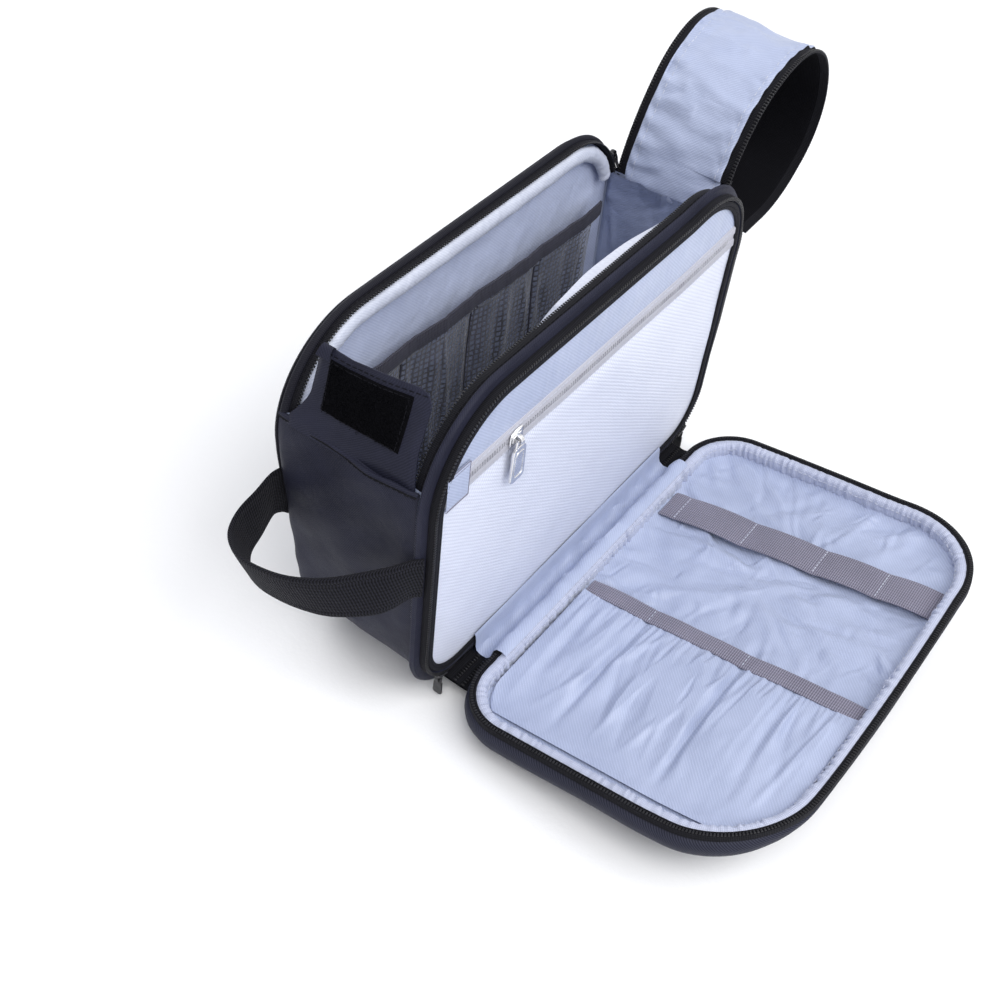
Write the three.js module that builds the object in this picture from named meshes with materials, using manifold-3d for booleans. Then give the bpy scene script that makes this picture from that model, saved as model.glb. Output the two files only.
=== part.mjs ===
// A toiletry bag, open for use: the front flap is down and the lid strip is thrown back over its
// sewn end.
// Millimetres. X runs from the handle end to the lid's sewn end, Y from the flap to the rear, Z up.
// The origin is the middle of the base, on the ground.
import * as THREE from 'three';
import { mergeVertices } from 'three/addons/utils/BufferGeometryUtils.js';
import Module from 'manifold-3d';

const wasm = await Module();
wasm.setup();

// Body: a rounded rectangle seen from the front, as deep as the main compartment
const bodyLength = 254;
const bodyHeight = 184;
const bodyDepth = 90;
const topCorner = 50;
const baseCorner = 42;
const panelWall = 2;
const seamGap = 0.3;
const cornerSteps = 8;
const overrun = 5;

// Seams on the two ends, where the handle-end tongue and the lid start, below the top
const tongueSeamDrop = 36;
const lidSeamDrop = 36;

// Zip of the flap, at the bag's front rim
const flapZipSideInset = 5;
const flapZipTopInset = 4;
const flapZipBaseInset = 16;
const flapZipBaseCorner = 27;
const flapZipLip = 1;
const flapTapeWidth = 3.4;
const flapTapeThickness = 1;

// Front gusset, from the flap zip round to the end panels
const gussetTapeZone = 3.4;
const gussetDepth = 7.2;
const gussetRise = 1.4;
const gussetSeamDip = 0.6;
const gussetShoulder = 1;

// Zips of the lid, one along the front rim and one along the rear rim
const lidZipFromFront = 12.9;
const lidZipFromRear = 15.2;
const lidTapeWidth = 4.6;
const lidTapeThickness = 1.6;
const lidTapeInset = 3;

// Rear band, from the rear lid zip to the piping
const rearBandRise = 1.4;
const rearBandInset = 0.4;

// Front wall, a pocket between two panels
const frontPanelRecess = 1;
const frontPanelThickness = 1.8;
const frontBackThickness = 1.5;
const innerZipDrop = 39;
const innerZipWidth = 12;
const innerZipThickness = 1.2;
const innerTrackWidth = 3;
const innerTrackRise = 0.8;
const toothPitch = 2.4;
const toothSlot = 0.9;
const toothFoot = 0.15;
const innerPatchWidth = 16;
const innerPatchHeight = 20;
const innerPatchThickness = 0.8;

// Rear face
const pipingRadius = 1.8;
const pipingInset = 2.2;
const pipingSides = 8;
const rearPanelThickness = 2.4;
const rearPocketDrop = 46;
const rearPocketBand = 15;
const rearPocketTapeThickness = 1.2;
const rearTrackWidth = 3;
const rearTrackRise = 0.8;
const rearTabWidth = 20;
const rearTabThickness = 0.9;
const rearTabHeight = 18;
const rearTabInset = 6;
const rearPocketRoom = 2.4;
const rearPaddingThickness = 3.6;
const rearRollRadius = 3.4;
const rearRollInset = 10;
const rearRollSides = 8;

// Mesh pocket on the rear wall
const meshSheet = 1.2;
const meshDepth = 14;
const meshLow = 30;
const meshDrop = 53;
const meshSideInset = 21;
const meshBindingHeight = 8;
const meshBindingThickness = 2;

// Lining of the main compartment
const liningThickness = 1;
const liningDrop = 4;

// Base seam between the bottom panel and the flap's hinge fabric
const hingeClothInset = 43;
const hingeClothThickness = 1.4;
const hingeClothDrop = 1.2;
const hingeClothGap = 0.1;
const hingeTapeLength = 20;

// Flap, modelled shut and then turned open about its hinge line
const flapRimGap = 2.2;
const flapDepth = 20;
const flapHingeReach = 8.3;
const flapHingeDrop = 4.2;
const flapOpenAngle = 81.4;
const flapWall = 1.8;
const flapFloor = 2;
const flapGrow = 4;
const flapCrest = 3;
const flapFaceInset = 5;
const flapShoulder = 1.6;
const flapFloorBevel = 3.2;
const flapLiningThickness = 2.9;
const bindingWidth = 6;
const bindingDepth = 8;
const bindingChamfer = 1.6;
const bindingSink = 0.6;

// Straps and the gathered pocket inside the flap
const wideElasticX = 63;
const wideElasticWidth = 20;
const elasticThickness = 1.2;
const elasticStart = 12;
const elasticEnd = 14;
const gatheredPocketEdgeX = -21;
const gatheredPocketFarX = -110;
const gatheredPocketRise = 8.6;
const gatheredPocketSheet = 1.2;
const narrowElasticWidth = 9;

// Lid strip, a chain of stiff panels that unrolls over the top
const lidLength = 270;
const lidPanels = 8;
const lidInset = 1.6;
const lidThickness = 2;
const lidEdgeThickness = 1.2;
const lidEdgeWidth = 5;
const lidZipGap = 0.3;
const lidFoldGap = 0.55;
const lidHeadings = [72, 52, 14, -26, -62, -100, -142, -178];
const lidHemLength = 7;
const lidHemThickness = 3;
const lidHemSideInset = 5;
const hookPatchLength = 20;
const hookPatchWidth = 40;
const hookPatchThickness = 1;

// Tongue at the handle end, with the loop patch that the lid's end sticks to
const tongueLength = 38;
const tongueThickness = 1.6;
const tongueLean = 70;
const tongueFrontInset = 13.5;
const tongueRearInset = 21;
const tongueSeamInset = 0.8;
const tongueFoldGap = 0.75;
const tongueSeamRoom = 0.55;
const loopPatchLength = 24;
const loopPatchWidth = 42;
const loopPatchThickness = 1.2;
const loopPatchStart = 10;

// Handle, a webbing loop sewn into both seams of the handle end
const handleWidth = 25;
const handleThickness = 2;
const handleReach = 46;
const handleSpan = 74;
const handleDrop = 84;
const handleMiddleY = 0.5;
const handleStandOff = 2.4;
const handleEndHeight = 4;
const handleTaperShare = 0.12;
const handleSteps = 24;
const stubThickness = 2;
const stubGap = 0.9;
// Reach outward and place along the span, rear end first, of the loop's two edges
const handleUpperShares = [
  [0, 0.5], [0.27, 0.486], [0.56, 0.455], [0.79, 0.385], [0.922, 0.26],
  [0.926, 0.1], [0.828, -0.088], [0.6, -0.27], [0.23, -0.446], [0, -0.5],
];
const handleLowerShares = [
  [0, 0.5], [0.3, 0.452], [0.52, 0.4], [0.66, 0.325], [0.755, 0.235],
  [0.78, 0.101], [0.72, -0.101], [0.585, -0.29], [0.3, -0.468], [0, -0.5],
];

// Zip sliders and their pullers
const sliderLength = 9;
const sliderWidth = 4.6;
const sliderPlate = 1;
const sliderWide = 9;
const sliderNoseShare = 0.6;
const lugThickness = 1.4;
const lugLength = 3.2;
const lugHoleHeight = 3.2;
const lugHoleRadius = 1;
const lugCrown = 1.2;
const pinRadius = 0.6;
const forkGap = 0.3;
const prongThickness = 0.9;
const prongHeight = 2.2;
const forkReach = 3.4;
const pullerPlate = 1.2;
const shortPullerLength = 12;
const metalPullerLength = 24;
const metalPullerWidth = 10;
const cordPullerLength = 42;
const cordPullerWidth = 4.4;
const innerSliderX = -70;
const rearSliderX = 104;
const lidSliderAngle = 28;
const flapSliderAngle = 61;

const half = bodyLength / 2;
const tongueSeamHeight = bodyHeight - tongueSeamDrop;
const lidSeamHeight = bodyHeight - lidSeamDrop;
const innerZipHeight = bodyHeight - innerZipDrop;
const rearPocketHeight = bodyHeight - rearPocketDrop;
const meshHigh = bodyHeight - meshDrop;
const meshHalf = half - meshSideInset;
const liningHigh = Math.min(tongueSeamHeight, lidSeamHeight) - liningDrop;
const handleHeight = bodyHeight - handleDrop;
const frontY = -bodyDepth / 2;
const rearY = bodyDepth / 2;

const colours = {
  charcoal: new THREE.Color(0.065, 0.063, 0.09),
  black: new THREE.Color(0.02, 0.02, 0.024),
  lining: new THREE.Color(0.45, 0.52, 0.7),
  pale: new THREE.Color(0.72, 0.75, 0.88),
  grey: new THREE.Color(0.26, 0.25, 0.3),
  mesh: new THREE.Color(0.1, 0.1, 0.13),
  silver: new THREE.Color(0.7, 0.7, 0.72),
};

const looks = {
  shell: { color: colours.charcoal, roughness: 0.75, metalness: 0 },
  zip: { color: colours.black, roughness: 0.6, metalness: 0 },
  webbing: { color: colours.black, roughness: 0.85, metalness: 0 },
  lining: { color: colours.lining, roughness: 0.6, metalness: 0 },
  padding: { color: colours.pale, roughness: 0.5, metalness: 0 },
  elastic: { color: colours.grey, roughness: 0.8, metalness: 0 },
  mesh: { color: colours.mesh, roughness: 0.8, metalness: 0 },
  silver: { color: colours.silver, roughness: 0.25, metalness: 1 },
};

const bag = new THREE.Group();

function add(parent, name, look, geometry) {
  const mesh = new THREE.Mesh(geometry, new THREE.MeshStandardMaterial(looks[look]));
  mesh.name = name;
  parent.add(mesh);
  return mesh;
}

// Solids: joining and cutting
function solidOf(geometry) {
  const bare = geometry.clone();
  bare.deleteAttribute('normal');
  bare.deleteAttribute('uv');
  const merged = mergeVertices(bare);
  const vertProperties = new Float32Array(merged.attributes.position.array);
  const triVerts = new Uint32Array(merged.index.array);
  return new wasm.Manifold(new wasm.Mesh({ numProp: 3, vertProperties, triVerts }));
}

function geometryOf(solid) {
  const mesh = solid.getMesh();
  const geometry = new THREE.BufferGeometry();
  geometry.setAttribute('position', new THREE.BufferAttribute(mesh.vertProperties, 3));
  geometry.setIndex(new THREE.BufferAttribute(mesh.triVerts, 1));
  geometry.computeVertexNormals();
  return geometry;
}

function cut(body, ...tools) {
  return geometryOf(tools.reduce((solid, tool) => solid.subtract(solidOf(tool)), solidOf(body)));
}

function join(body, ...others) {
  return geometryOf(others.reduce((solid, other) => solid.add(solidOf(other)), solidOf(body)));
}

function within(body, tool) {
  return geometryOf(solidOf(body).intersect(solidOf(tool)));
}

function block([x0, x1], [y0, y1], [z0, z1]) {
  const geometry = new THREE.BoxGeometry(x1 - x0, y1 - y0, z1 - z0);
  return geometry.translate((x0 + x1) / 2, (y0 + y1) / 2, (z0 + z1) / 2);
}

// Frames: rounded rectangles in the XZ plane
const bodyFrame = { half, low: 0, high: bodyHeight, lowCorner: baseCorner, highCorner: topCorner };
const flapZipFrame = {
  half: half - flapZipSideInset,
  low: flapZipBaseInset,
  high: bodyHeight - flapZipTopInset,
  lowCorner: flapZipBaseCorner,
  highCorner: topCorner - flapZipTopInset,
};

function grown(frame, by) {
  return {
    half: frame.half + by,
    low: frame.low - by,
    high: frame.high + by,
    lowCorner: frame.lowCorner + by,
    highCorner: frame.highCorner + by,
  };
}

// Points of a frame, anticlockwise as seen from the front
function outline(frame) {
  const points = [];
  const corner = (x, z, radius, from) => {
    for (let i = 0; i <= cornerSteps; i += 1) {
      const angle = from + ((i / cornerSteps) * Math.PI) / 2;
      points.push(new THREE.Vector2(x + radius * Math.cos(angle), z + radius * Math.sin(angle)));
    }
  };
  const { low, high, lowCorner, highCorner } = frame;
  corner(frame.half - lowCorner, low + lowCorner, lowCorner, -Math.PI / 2);
  corner(frame.half - highCorner, high - highCorner, highCorner, 0);
  corner(highCorner - frame.half, high - highCorner, highCorner, Math.PI / 2);
  corner(lowCorner - frame.half, low + lowCorner, lowCorner, Math.PI);
  return points;
}

// A closed solid through frames at rising Y
function loft(levels) {
  const rings = levels.map(([y, frame]) => ({ y, points: outline(frame) }));
  const count = rings[0].points.length;
  const positions = rings.flatMap(({ y, points }) => points.flatMap((p) => [p.x, y, p.y]));
  const triangles = [];
  for (let k = 0; k + 1 < rings.length; k += 1) {
    for (let i = 0; i < count; i += 1) {
      const a = k * count + i;
      const b = k * count + ((i + 1) % count);
      triangles.push(a, b + count, b, a, a + count, b + count);
    }
  }
  const last = (rings.length - 1) * count;
  for (const [p, q, r] of THREE.ShapeUtils.triangulateShape(rings[0].points, [])) {
    triangles.push(p, q, r, last + r, last + q, last + p);
  }
  const geometry = new THREE.BufferGeometry();
  geometry.setAttribute('position', new THREE.Float32BufferAttribute(positions, 3));
  geometry.setIndex(triangles);
  geometry.computeVertexNormals();
  return geometry;
}

// A flat ring between two frames
function ring(outer, inner, [y0, y1]) {
  return cut(
    loft([[y0, outer], [y1, outer]]),
    loft([[y0 - overrun, inner], [y1 + overrun, inner]]),
  );
}

function plate(frame, [y0, y1]) {
  return loft([[y0, frame], [y1, frame]]);
}

const wide = [-half - overrun, half + overrun];
const deep = [frontY - overrun, rearY + overrun];

function above(height) {
  return block(wide, deep, [height, bodyHeight + overrun]);
}

// Front gusset: a tube that steps out from the flap zip to the body's outline
const gussetRear = frontY + gussetDepth;
const zipZoneRear = frontY + gussetTapeZone;

function frontGusset() {
  const mouth = grown(flapZipFrame, flapZipLip);
  const outer = loft([
    [frontY, mouth],
    [zipZoneRear, mouth],
    [zipZoneRear + gussetRise, grown(bodyFrame, -gussetShoulder)],
    [(zipZoneRear + gussetRise + gussetRear) / 2, bodyFrame],
    [gussetRear, grown(bodyFrame, -gussetSeamDip)],
  ]);
  const throat = grown(mouth, -panelWall);
  const room = grown(bodyFrame, -panelWall - gussetSeamDip);
  const inner = loft([
    [frontY - overrun, throat],
    [zipZoneRear + panelWall, throat],
    [zipZoneRear + panelWall + gussetRise, room],
    [gussetRear + overrun, room],
  ]);
  return cut(outer, inner);
}

add(bag, 'front_gusset', 'shell', frontGusset());

// Tape of the flap zip on the bag's side, lining the gusset's mouth
const frameTapeFrame = grown(flapZipFrame, flapZipLip - panelWall - seamGap);
const frameTapeY = [frontY - seamGap, frontY - seamGap + flapTapeThickness];
const frameTapeInner = grown(frameTapeFrame, -flapTapeWidth);
add(bag, 'front_rim_zip_tape', 'zip', ring(frameTapeFrame, frameTapeInner, frameTapeY));

// Front wall
const frontPanelFrame = frameTapeFrame;
const frontOpenFrame = grown(frameTapeFrame, -flapTapeWidth - seamGap);
const frontPanelY = [frontY + frontPanelRecess, frontY + frontPanelRecess + frontPanelThickness];
const innerZipLow = innerZipHeight - innerZipWidth / 2;
const innerZipHigh = innerZipHeight + innerZipWidth / 2;
const innerPatchX = innerPatchWidth - frontOpenFrame.half;

function frontPanelPart([z0, z1]) {
  return within(plate(frontPanelFrame, frontPanelY), block(wide, deep, [z0, z1]));
}

add(bag, 'front_wall_lower_panel', 'padding', frontPanelPart([0, innerZipLow - seamGap]));
add(bag, 'front_wall_upper_strip', 'lining', frontPanelPart([innerZipHigh + seamGap, bodyHeight]));

// Slots across a zip's track that part it into teeth
function toothSlots([x0, x1], slotY, [z0, z1]) {
  const count = Math.floor((x1 - x0) / toothPitch);
  const slotZ = [z0 - overrun, z1 + overrun];
  return Array.from({ length: count }, (_, i) => {
    const middle = x0 + ((i + 1) * (x1 - x0)) / (count + 1);
    return block([middle - toothSlot / 2, middle + toothSlot / 2], slotY, slotZ);
  });
}

function innerZip() {
  const tapeY = [frontPanelY[0], frontPanelY[0] + innerZipThickness];
  const tape = block(wide, tapeY, [innerZipLow, innerZipHigh]);
  const trackZ = [innerZipHeight - innerTrackWidth / 2, innerZipHeight + innerTrackWidth / 2];
  const trackY = [frontPanelY[0] - innerTrackRise, tapeY[1]];
  const trackX = [innerPatchX + seamGap, frontOpenFrame.half - innerPatchWidth / 2];
  const trimmed = within(tape, plate(frontPanelFrame, deep));
  const slots = toothSlots(trackX, [trackY[0] - overrun, frontPanelY[0] - toothFoot], trackZ);
  return cut(join(trimmed, block(trackX, trackY, trackZ)), ...slots);
}

add(bag, 'inner_pocket_zip', 'elastic', innerZip());

function innerPatch() {
  const patchZ = [innerZipHeight - innerPatchHeight / 2, innerZipHeight + innerPatchHeight / 2];
  const patchY = [frontPanelY[0] - seamGap - innerPatchThickness, frontPanelY[0] - seamGap];
  return within(block([-half, innerPatchX], patchY, patchZ), plate(frontOpenFrame, deep));
}

add(bag, 'inner_zip_end_patch', 'lining', innerPatch());

const frontBackY0 = zipZoneRear + panelWall + gussetRise + seamGap;
const liningFrame = grown(bodyFrame, -panelWall - seamGap);
const frontBackY = [frontBackY0, frontBackY0 + frontBackThickness];
const frontBackFrame = grown(bodyFrame, -lidTapeInset - lidTapeThickness - seamGap);
add(bag, 'front_wall_back_panel', 'padding', plate(frontBackFrame, frontBackY));

// End panels and bottom panel, from the gusset to the piping
const pipingFrontY = rearY - 2 * pipingRadius;
const sideY = [gussetRear + seamGap, pipingFrontY - seamGap];
const bottomHalf = half - baseCorner;

function sidePanel([x0, x1], high) {
  const shell = ring(bodyFrame, grown(bodyFrame, -panelWall), sideY);
  return within(shell, block([x0, x1], deep, [-overrun, high]));
}

const handleEndX = [-half - overrun, -bottomHalf - seamGap];
add(bag, 'handle_end_panel', 'shell', sidePanel(handleEndX, tongueSeamHeight - tongueSeamRoom));
const lidEndX = [bottomHalf + seamGap, half + overrun];
add(bag, 'lid_end_panel', 'shell', sidePanel(lidEndX, lidSeamHeight - seamGap));
add(bag, 'bottom_panel', 'shell', block([-bottomHalf, bottomHalf], sideY, [0, panelWall]));

// Zip tapes of the lid on the bag's side: arches along the front and rear rims
const lidZipFrontY = frontY + lidZipFromFront;
const lidZipRearY = rearY - lidZipFromRear;
const lidTapeFrame = grown(bodyFrame, -lidTapeInset);
const lidTapeInner = grown(lidTapeFrame, -lidTapeThickness);
const frontTapeY = [gussetRear + seamGap, lidZipFrontY - lidZipGap];
const rearTapeY = [lidZipRearY + lidZipGap, lidZipRearY + lidZipGap + lidTapeWidth];
const seamHigh = Math.max(tongueSeamHeight, lidSeamHeight) + seamGap;

const frontLidTape = within(ring(lidTapeFrame, lidTapeInner, frontTapeY), above(seamHigh));
add(bag, 'front_lid_zip_tape', 'zip', frontLidTape);
const rearLidTape = within(ring(lidTapeFrame, lidTapeInner, rearTapeY), above(seamHigh));
add(bag, 'rear_lid_zip_tape', 'zip', rearLidTape);

// Rear band over the top of the rear wall
function rearBand() {
  const start = rearTapeY[1] + seamGap;
  const levels = (inset) => [
    [start, grown(lidTapeFrame, -inset)],
    [start + rearBandRise, grown(bodyFrame, -gussetShoulder - inset)],
    [(start + sideY[1]) / 2, grown(bodyFrame, -inset)],
    [sideY[1], grown(bodyFrame, -rearBandInset - inset)],
  ];
  const outer = levels(0);
  const inner = levels(panelWall);
  inner.unshift([start - overrun, inner[0][1]]);
  inner.push([sideY[1] + overrun, inner[inner.length - 1][1]]);
  return within(cut(loft(outer), loft(inner)), above(seamHigh));
}

add(bag, 'rear_top_band', 'shell', rearBand());

// A closed tube round a frame, with one section at each of the frame's points
function frameTube(frame, y, radius, sides) {
  const points = outline(frame);
  const count = points.length;
  const positions = [];
  const triangles = [];
  points.forEach((point, i) => {
    const before = points[(i + count - 1) % count];
    const after = points[(i + 1) % count];
    const out = after.clone().sub(before).normalize().rotateAround(new THREE.Vector2(), -Math.PI / 2);
    for (let k = 0; k < sides; k += 1) {
      const angle = (k / sides) * 2 * Math.PI;
      const reach = radius * Math.cos(angle);
      positions.push(point.x + out.x * reach, y + radius * Math.sin(angle), point.y + out.y * reach);
    }
  });
  for (let i = 0; i < count; i += 1) {
    for (let k = 0; k < sides; k += 1) {
      const a = i * sides + k;
      const b = i * sides + ((k + 1) % sides);
      const c = ((i + 1) % count) * sides + k;
      const d = ((i + 1) % count) * sides + ((k + 1) % sides);
      triangles.push(a, b, c, b, d, c);
    }
  }
  const geometry = new THREE.BufferGeometry();
  geometry.setAttribute('position', new THREE.Float32BufferAttribute(positions, 3));
  geometry.setIndex(triangles);
  geometry.computeVertexNormals();
  return geometry;
}

const pipingFrame = grown(bodyFrame, -pipingInset);
add(bag, 'rear_piping', 'shell', frameTube(pipingFrame, rearY - pipingRadius, pipingRadius, pipingSides));

// Rear face, in two panels with the pocket's zip band between them
const rearFaceFrame = grown(bodyFrame, -pipingInset - pipingRadius - seamGap);
const rearFaceY = [rearY - rearPanelThickness, rearY];
const rearBandLow = rearPocketHeight - rearPocketBand / 2;
const rearBandHigh = rearPocketHeight + rearPocketBand / 2;

function rearPanelPart([z0, z1]) {
  return within(plate(rearFaceFrame, rearFaceY), block(wide, deep, [z0, z1]));
}

add(bag, 'rear_lower_panel', 'shell', rearPanelPart([0, rearBandLow - seamGap]));
add(bag, 'rear_upper_panel', 'shell', rearPanelPart([rearBandHigh + seamGap, bodyHeight]));

const rearTapeFaceY = rearFaceY[0] + rearPocketTapeThickness;

function rearPocketZip() {
  const tape = within(
    plate(rearFaceFrame, [rearFaceY[0], rearTapeFaceY]),
    block(wide, deep, [rearBandLow, rearBandHigh]),
  );
  const trackZ = [rearPocketHeight - rearTrackWidth / 2, rearPocketHeight + rearTrackWidth / 2];
  const trackEnd = rearFaceFrame.half - rearTabInset;
  const trackX = [rearTabWidth + seamGap - trackEnd, trackEnd];
  const trackTopY = rearTapeFaceY + rearTrackRise;
  const slots = toothSlots(trackX, [rearTapeFaceY + toothFoot, trackTopY + overrun], trackZ);
  return cut(join(tape, block(trackX, [rearFaceY[0], trackTopY], trackZ)), ...slots);
}

add(bag, 'rear_pocket_zip', 'zip', rearPocketZip());

function rearTab() {
  const tabX = [rearTabInset - rearFaceFrame.half, rearTabInset + rearTabWidth - rearFaceFrame.half];
  const tabHalf = rearPocketBand / 2 - seamGap;
  const tabZ = [rearPocketHeight - tabHalf, rearPocketHeight + tabHalf];
  const tabY = [rearTapeFaceY + seamGap, rearTapeFaceY + seamGap + rearTabThickness];
  return within(block(tabX, tabY, tabZ), plate(rearFaceFrame, deep));
}

add(bag, 'rear_zip_end_tab', 'shell', rearTab());

// Padded lining of the rear wall, behind the rear pocket's room
const rearLiningBack = rearFaceY[0] - rearPocketRoom;
const rearLiningY = [rearLiningBack - rearPaddingThickness, rearLiningBack];
const rearInnerFrame = grown(bodyFrame, -panelWall - gussetShoulder - seamGap);
add(bag, 'rear_wall_padding', 'lining', plate(rearInnerFrame, rearLiningY));

// Padded roll under the rear rim
function rearRoll() {
  const y = rearLiningY[0] - seamGap - rearRollRadius;
  const tube = frameTube(grown(bodyFrame, -rearRollInset), y, rearRollRadius, rearRollSides);
  return within(tube, above(seamHigh));
}

add(bag, 'rear_rim_roll', 'padding', rearRoll());

// Mesh pocket: a tray that stands off the rear wall
const meshY = [rearLiningY[0] - seamGap - meshDepth, rearLiningY[0] - seamGap];

function meshPocket() {
  const outer = block([-meshHalf, meshHalf], meshY, [meshLow, meshHigh]);
  const inner = block(
    [meshSheet - meshHalf, meshHalf - meshSheet],
    [meshY[0] + meshSheet, meshY[1] + overrun],
    [meshLow + meshSheet, meshHigh + overrun],
  );
  return cut(outer, inner);
}

add(bag, 'mesh_pocket', 'mesh', meshPocket());

const meshBindingLow = meshY[0] - (meshBindingThickness - meshSheet) / 2;
const meshBindingY = [meshBindingLow, meshBindingLow + meshBindingThickness];
const meshBindingZ = [meshHigh + seamGap, meshHigh + seamGap + meshBindingHeight];
add(bag, 'mesh_pocket_binding', 'elastic', block([-meshHalf, meshHalf], meshBindingY, meshBindingZ));

// Lining of the compartment's ends and bottom
function compartmentLining() {
  const liningY = [gussetRear + seamGap, rearLiningY[0] - seamGap];
  const sleeve = ring(liningFrame, grown(liningFrame, -liningThickness), liningY);
  return within(sleeve, block(wide, deep, [-overrun, liningHigh]));
}

add(bag, 'compartment_lining', 'lining', compartmentLining());

const hingeClothHalf = half - hingeClothInset;

// Cloth and zip ends of the flap's hinge, from the gusset's foot to the hinge line
const flapRimY = frontY - flapRimGap;
const flapHingeY = flapRimY - flapHingeReach;
const flapHingeZ = flapZipFrame.low - flapHingeDrop;
const hingeClothZ = [flapHingeZ - hingeClothDrop - hingeClothThickness, flapHingeZ - hingeClothDrop];
const gussetLip = flapZipFrame.low - flapZipLip;
const gussetSlopeShare = (gussetLip - hingeClothZ[1]) / (gussetLip - gussetShoulder);
const hingeClothY = [flapHingeY + hingeClothGap, zipZoneRear + gussetRise * gussetSlopeShare - seamGap];

function hingeStrip([x0, x1]) {
  return block([x0, x1], hingeClothY, hingeClothZ);
}

add(bag, 'hinge_cloth', 'lining', hingeStrip([-hingeClothHalf, hingeClothHalf]));
for (const [name, side] of [['left', -1], ['right', 1]]) {
  const near = side * (hingeClothHalf + seamGap);
  const far = side * (hingeClothHalf + seamGap + hingeTapeLength);
  add(bag, `hinge_zip_end_${name}`, 'zip', hingeStrip([Math.min(near, far), Math.max(near, far)]));
}

// Flap: everything in it hangs on a group that turns about the hinge line
const flapTurn = new THREE.Group();
flapTurn.position.set(0, flapHingeY, flapHingeZ);
flapTurn.rotation.x = THREE.MathUtils.degToRad(flapOpenAngle);
const flap = new THREE.Group();
flap.position.set(0, -flapHingeY, -flapHingeZ);
flapTurn.add(flap);
bag.add(flapTurn);

const flapFaceY = flapRimY - flapDepth;
const flapFloorY = flapFaceY + flapFloor;

function flapShell() {
  const mouth = grown(flapZipFrame, flapZipLip);
  const outer = loft([
    [flapFaceY, grown(flapZipFrame, -flapFaceInset)],
    [flapFaceY + flapFloor / 2, flapZipFrame],
    [flapFaceY + 2 * flapFloor, grown(flapZipFrame, flapCrest)],
    [(flapFaceY + flapRimY) / 2, grown(flapZipFrame, flapGrow)],
    [flapRimY - gussetTapeZone - flapShoulder, grown(flapZipFrame, flapCrest)],
    [flapRimY - gussetTapeZone, mouth],
    [flapRimY, mouth],
  ]);
  const room = grown(mouth, -flapWall);
  const inner = loft([
    [flapFloorY, grown(room, -flapFloorBevel)],
    [flapFloorY + flapFloorBevel, room],
    [flapRimY + overrun, room],
  ]);
  return cut(outer, inner);
}

add(flap, 'flap_shell', 'shell', flapShell());

const flapRoomFrame = grown(flapZipFrame, flapZipLip - flapWall - seamGap);
const flapLiningY = [flapFloorY + seamGap, flapFloorY + seamGap + flapLiningThickness];
add(flap, 'flap_lining', 'lining', loft([
  [flapLiningY[0], grown(flapRoomFrame, -flapFloorBevel)],
  [flapLiningY[1], grown(flapRoomFrame, -seamGap)],
]));

const flapTapeY = [flapRimY - seamGap - flapTapeThickness, flapRimY - seamGap];
add(flap, 'flap_zip_tape', 'zip', ring(flapRoomFrame, grown(flapRoomFrame, -flapTapeWidth), flapTapeY));

// Puffy binding inside the flap's rim
function flapBinding() {
  const rimY = flapTapeY[0] - bindingSink;
  const footY = rimY - bindingDepth;
  const outerFrame = grown(flapRoomFrame, -seamGap);
  const innerFrame = grown(outerFrame, -bindingWidth);
  const outer = loft([
    [footY, outerFrame],
    [rimY - bindingChamfer, outerFrame],
    [rimY, grown(outerFrame, -bindingChamfer)],
  ]);
  const inner = loft([
    [footY - overrun, innerFrame],
    [footY, innerFrame],
    [rimY - bindingChamfer, innerFrame],
    [rimY, grown(innerFrame, bindingChamfer)],
    [rimY + overrun, grown(innerFrame, bindingChamfer)],
  ]);
  return cut(outer, inner);
}

add(flap, 'flap_binding', 'lining', flapBinding());

// Elastic loops for brushes, and the gathered pocket with its narrow elastic
const clothTopY = flapLiningY[1] + seamGap;
const elasticZ = [flapZipFrame.low + elasticStart, flapZipFrame.high - elasticEnd];
const wideElasticXs = [wideElasticX - wideElasticWidth / 2, wideElasticX + wideElasticWidth / 2];
const wideElasticY = [clothTopY, clothTopY + elasticThickness];
add(flap, 'wide_elastic_loops', 'elastic', block(wideElasticXs, wideElasticY, elasticZ));

const pocketTopY = clothTopY + gatheredPocketRise;

function gatheredPocket() {
  const mouth = grown(flapRoomFrame, -bindingWidth - 2 * seamGap);
  const outer = block([gatheredPocketFarX, gatheredPocketEdgeX], [clothTopY, pocketTopY], elasticZ);
  const inner = block(
    [gatheredPocketFarX + gatheredPocketSheet, gatheredPocketEdgeX + overrun],
    [clothTopY - overrun, pocketTopY - gatheredPocketSheet],
    [elasticZ[0] + gatheredPocketSheet, elasticZ[1] - gatheredPocketSheet],
  );
  const reach = [clothTopY - 2 * overrun, pocketTopY + overrun];
  const sleeve = within(outer, plate(mouth, reach));
  return cut(sleeve, within(inner, plate(grown(mouth, -gatheredPocketSheet), reach)));
}

add(flap, 'gathered_pocket', 'lining', gatheredPocket());

const narrowElasticX = gatheredPocketEdgeX + seamGap;
const narrowElasticXs = [narrowElasticX, narrowElasticX + narrowElasticWidth];
const narrowElasticY = [pocketTopY - elasticThickness, pocketTopY];
add(flap, 'narrow_elastic_edge', 'elastic', block(narrowElasticXs, narrowElasticY, elasticZ));

// Lid: panels of equal length, each turned to its own heading in the XZ plane
const lidRadius = topCorner - lidInset;
const lidWidthY = [lidZipFrontY + lidZipGap, lidZipRearY - lidZipGap];
const lidStep = lidLength / lidPanels;
const topCentreX = half - topCorner;
const topCentreZ = bodyHeight - topCorner;

function arcX(radius, height) {
  return topCentreX + Math.sqrt(radius ** 2 - (height - topCentreZ) ** 2);
}

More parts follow.
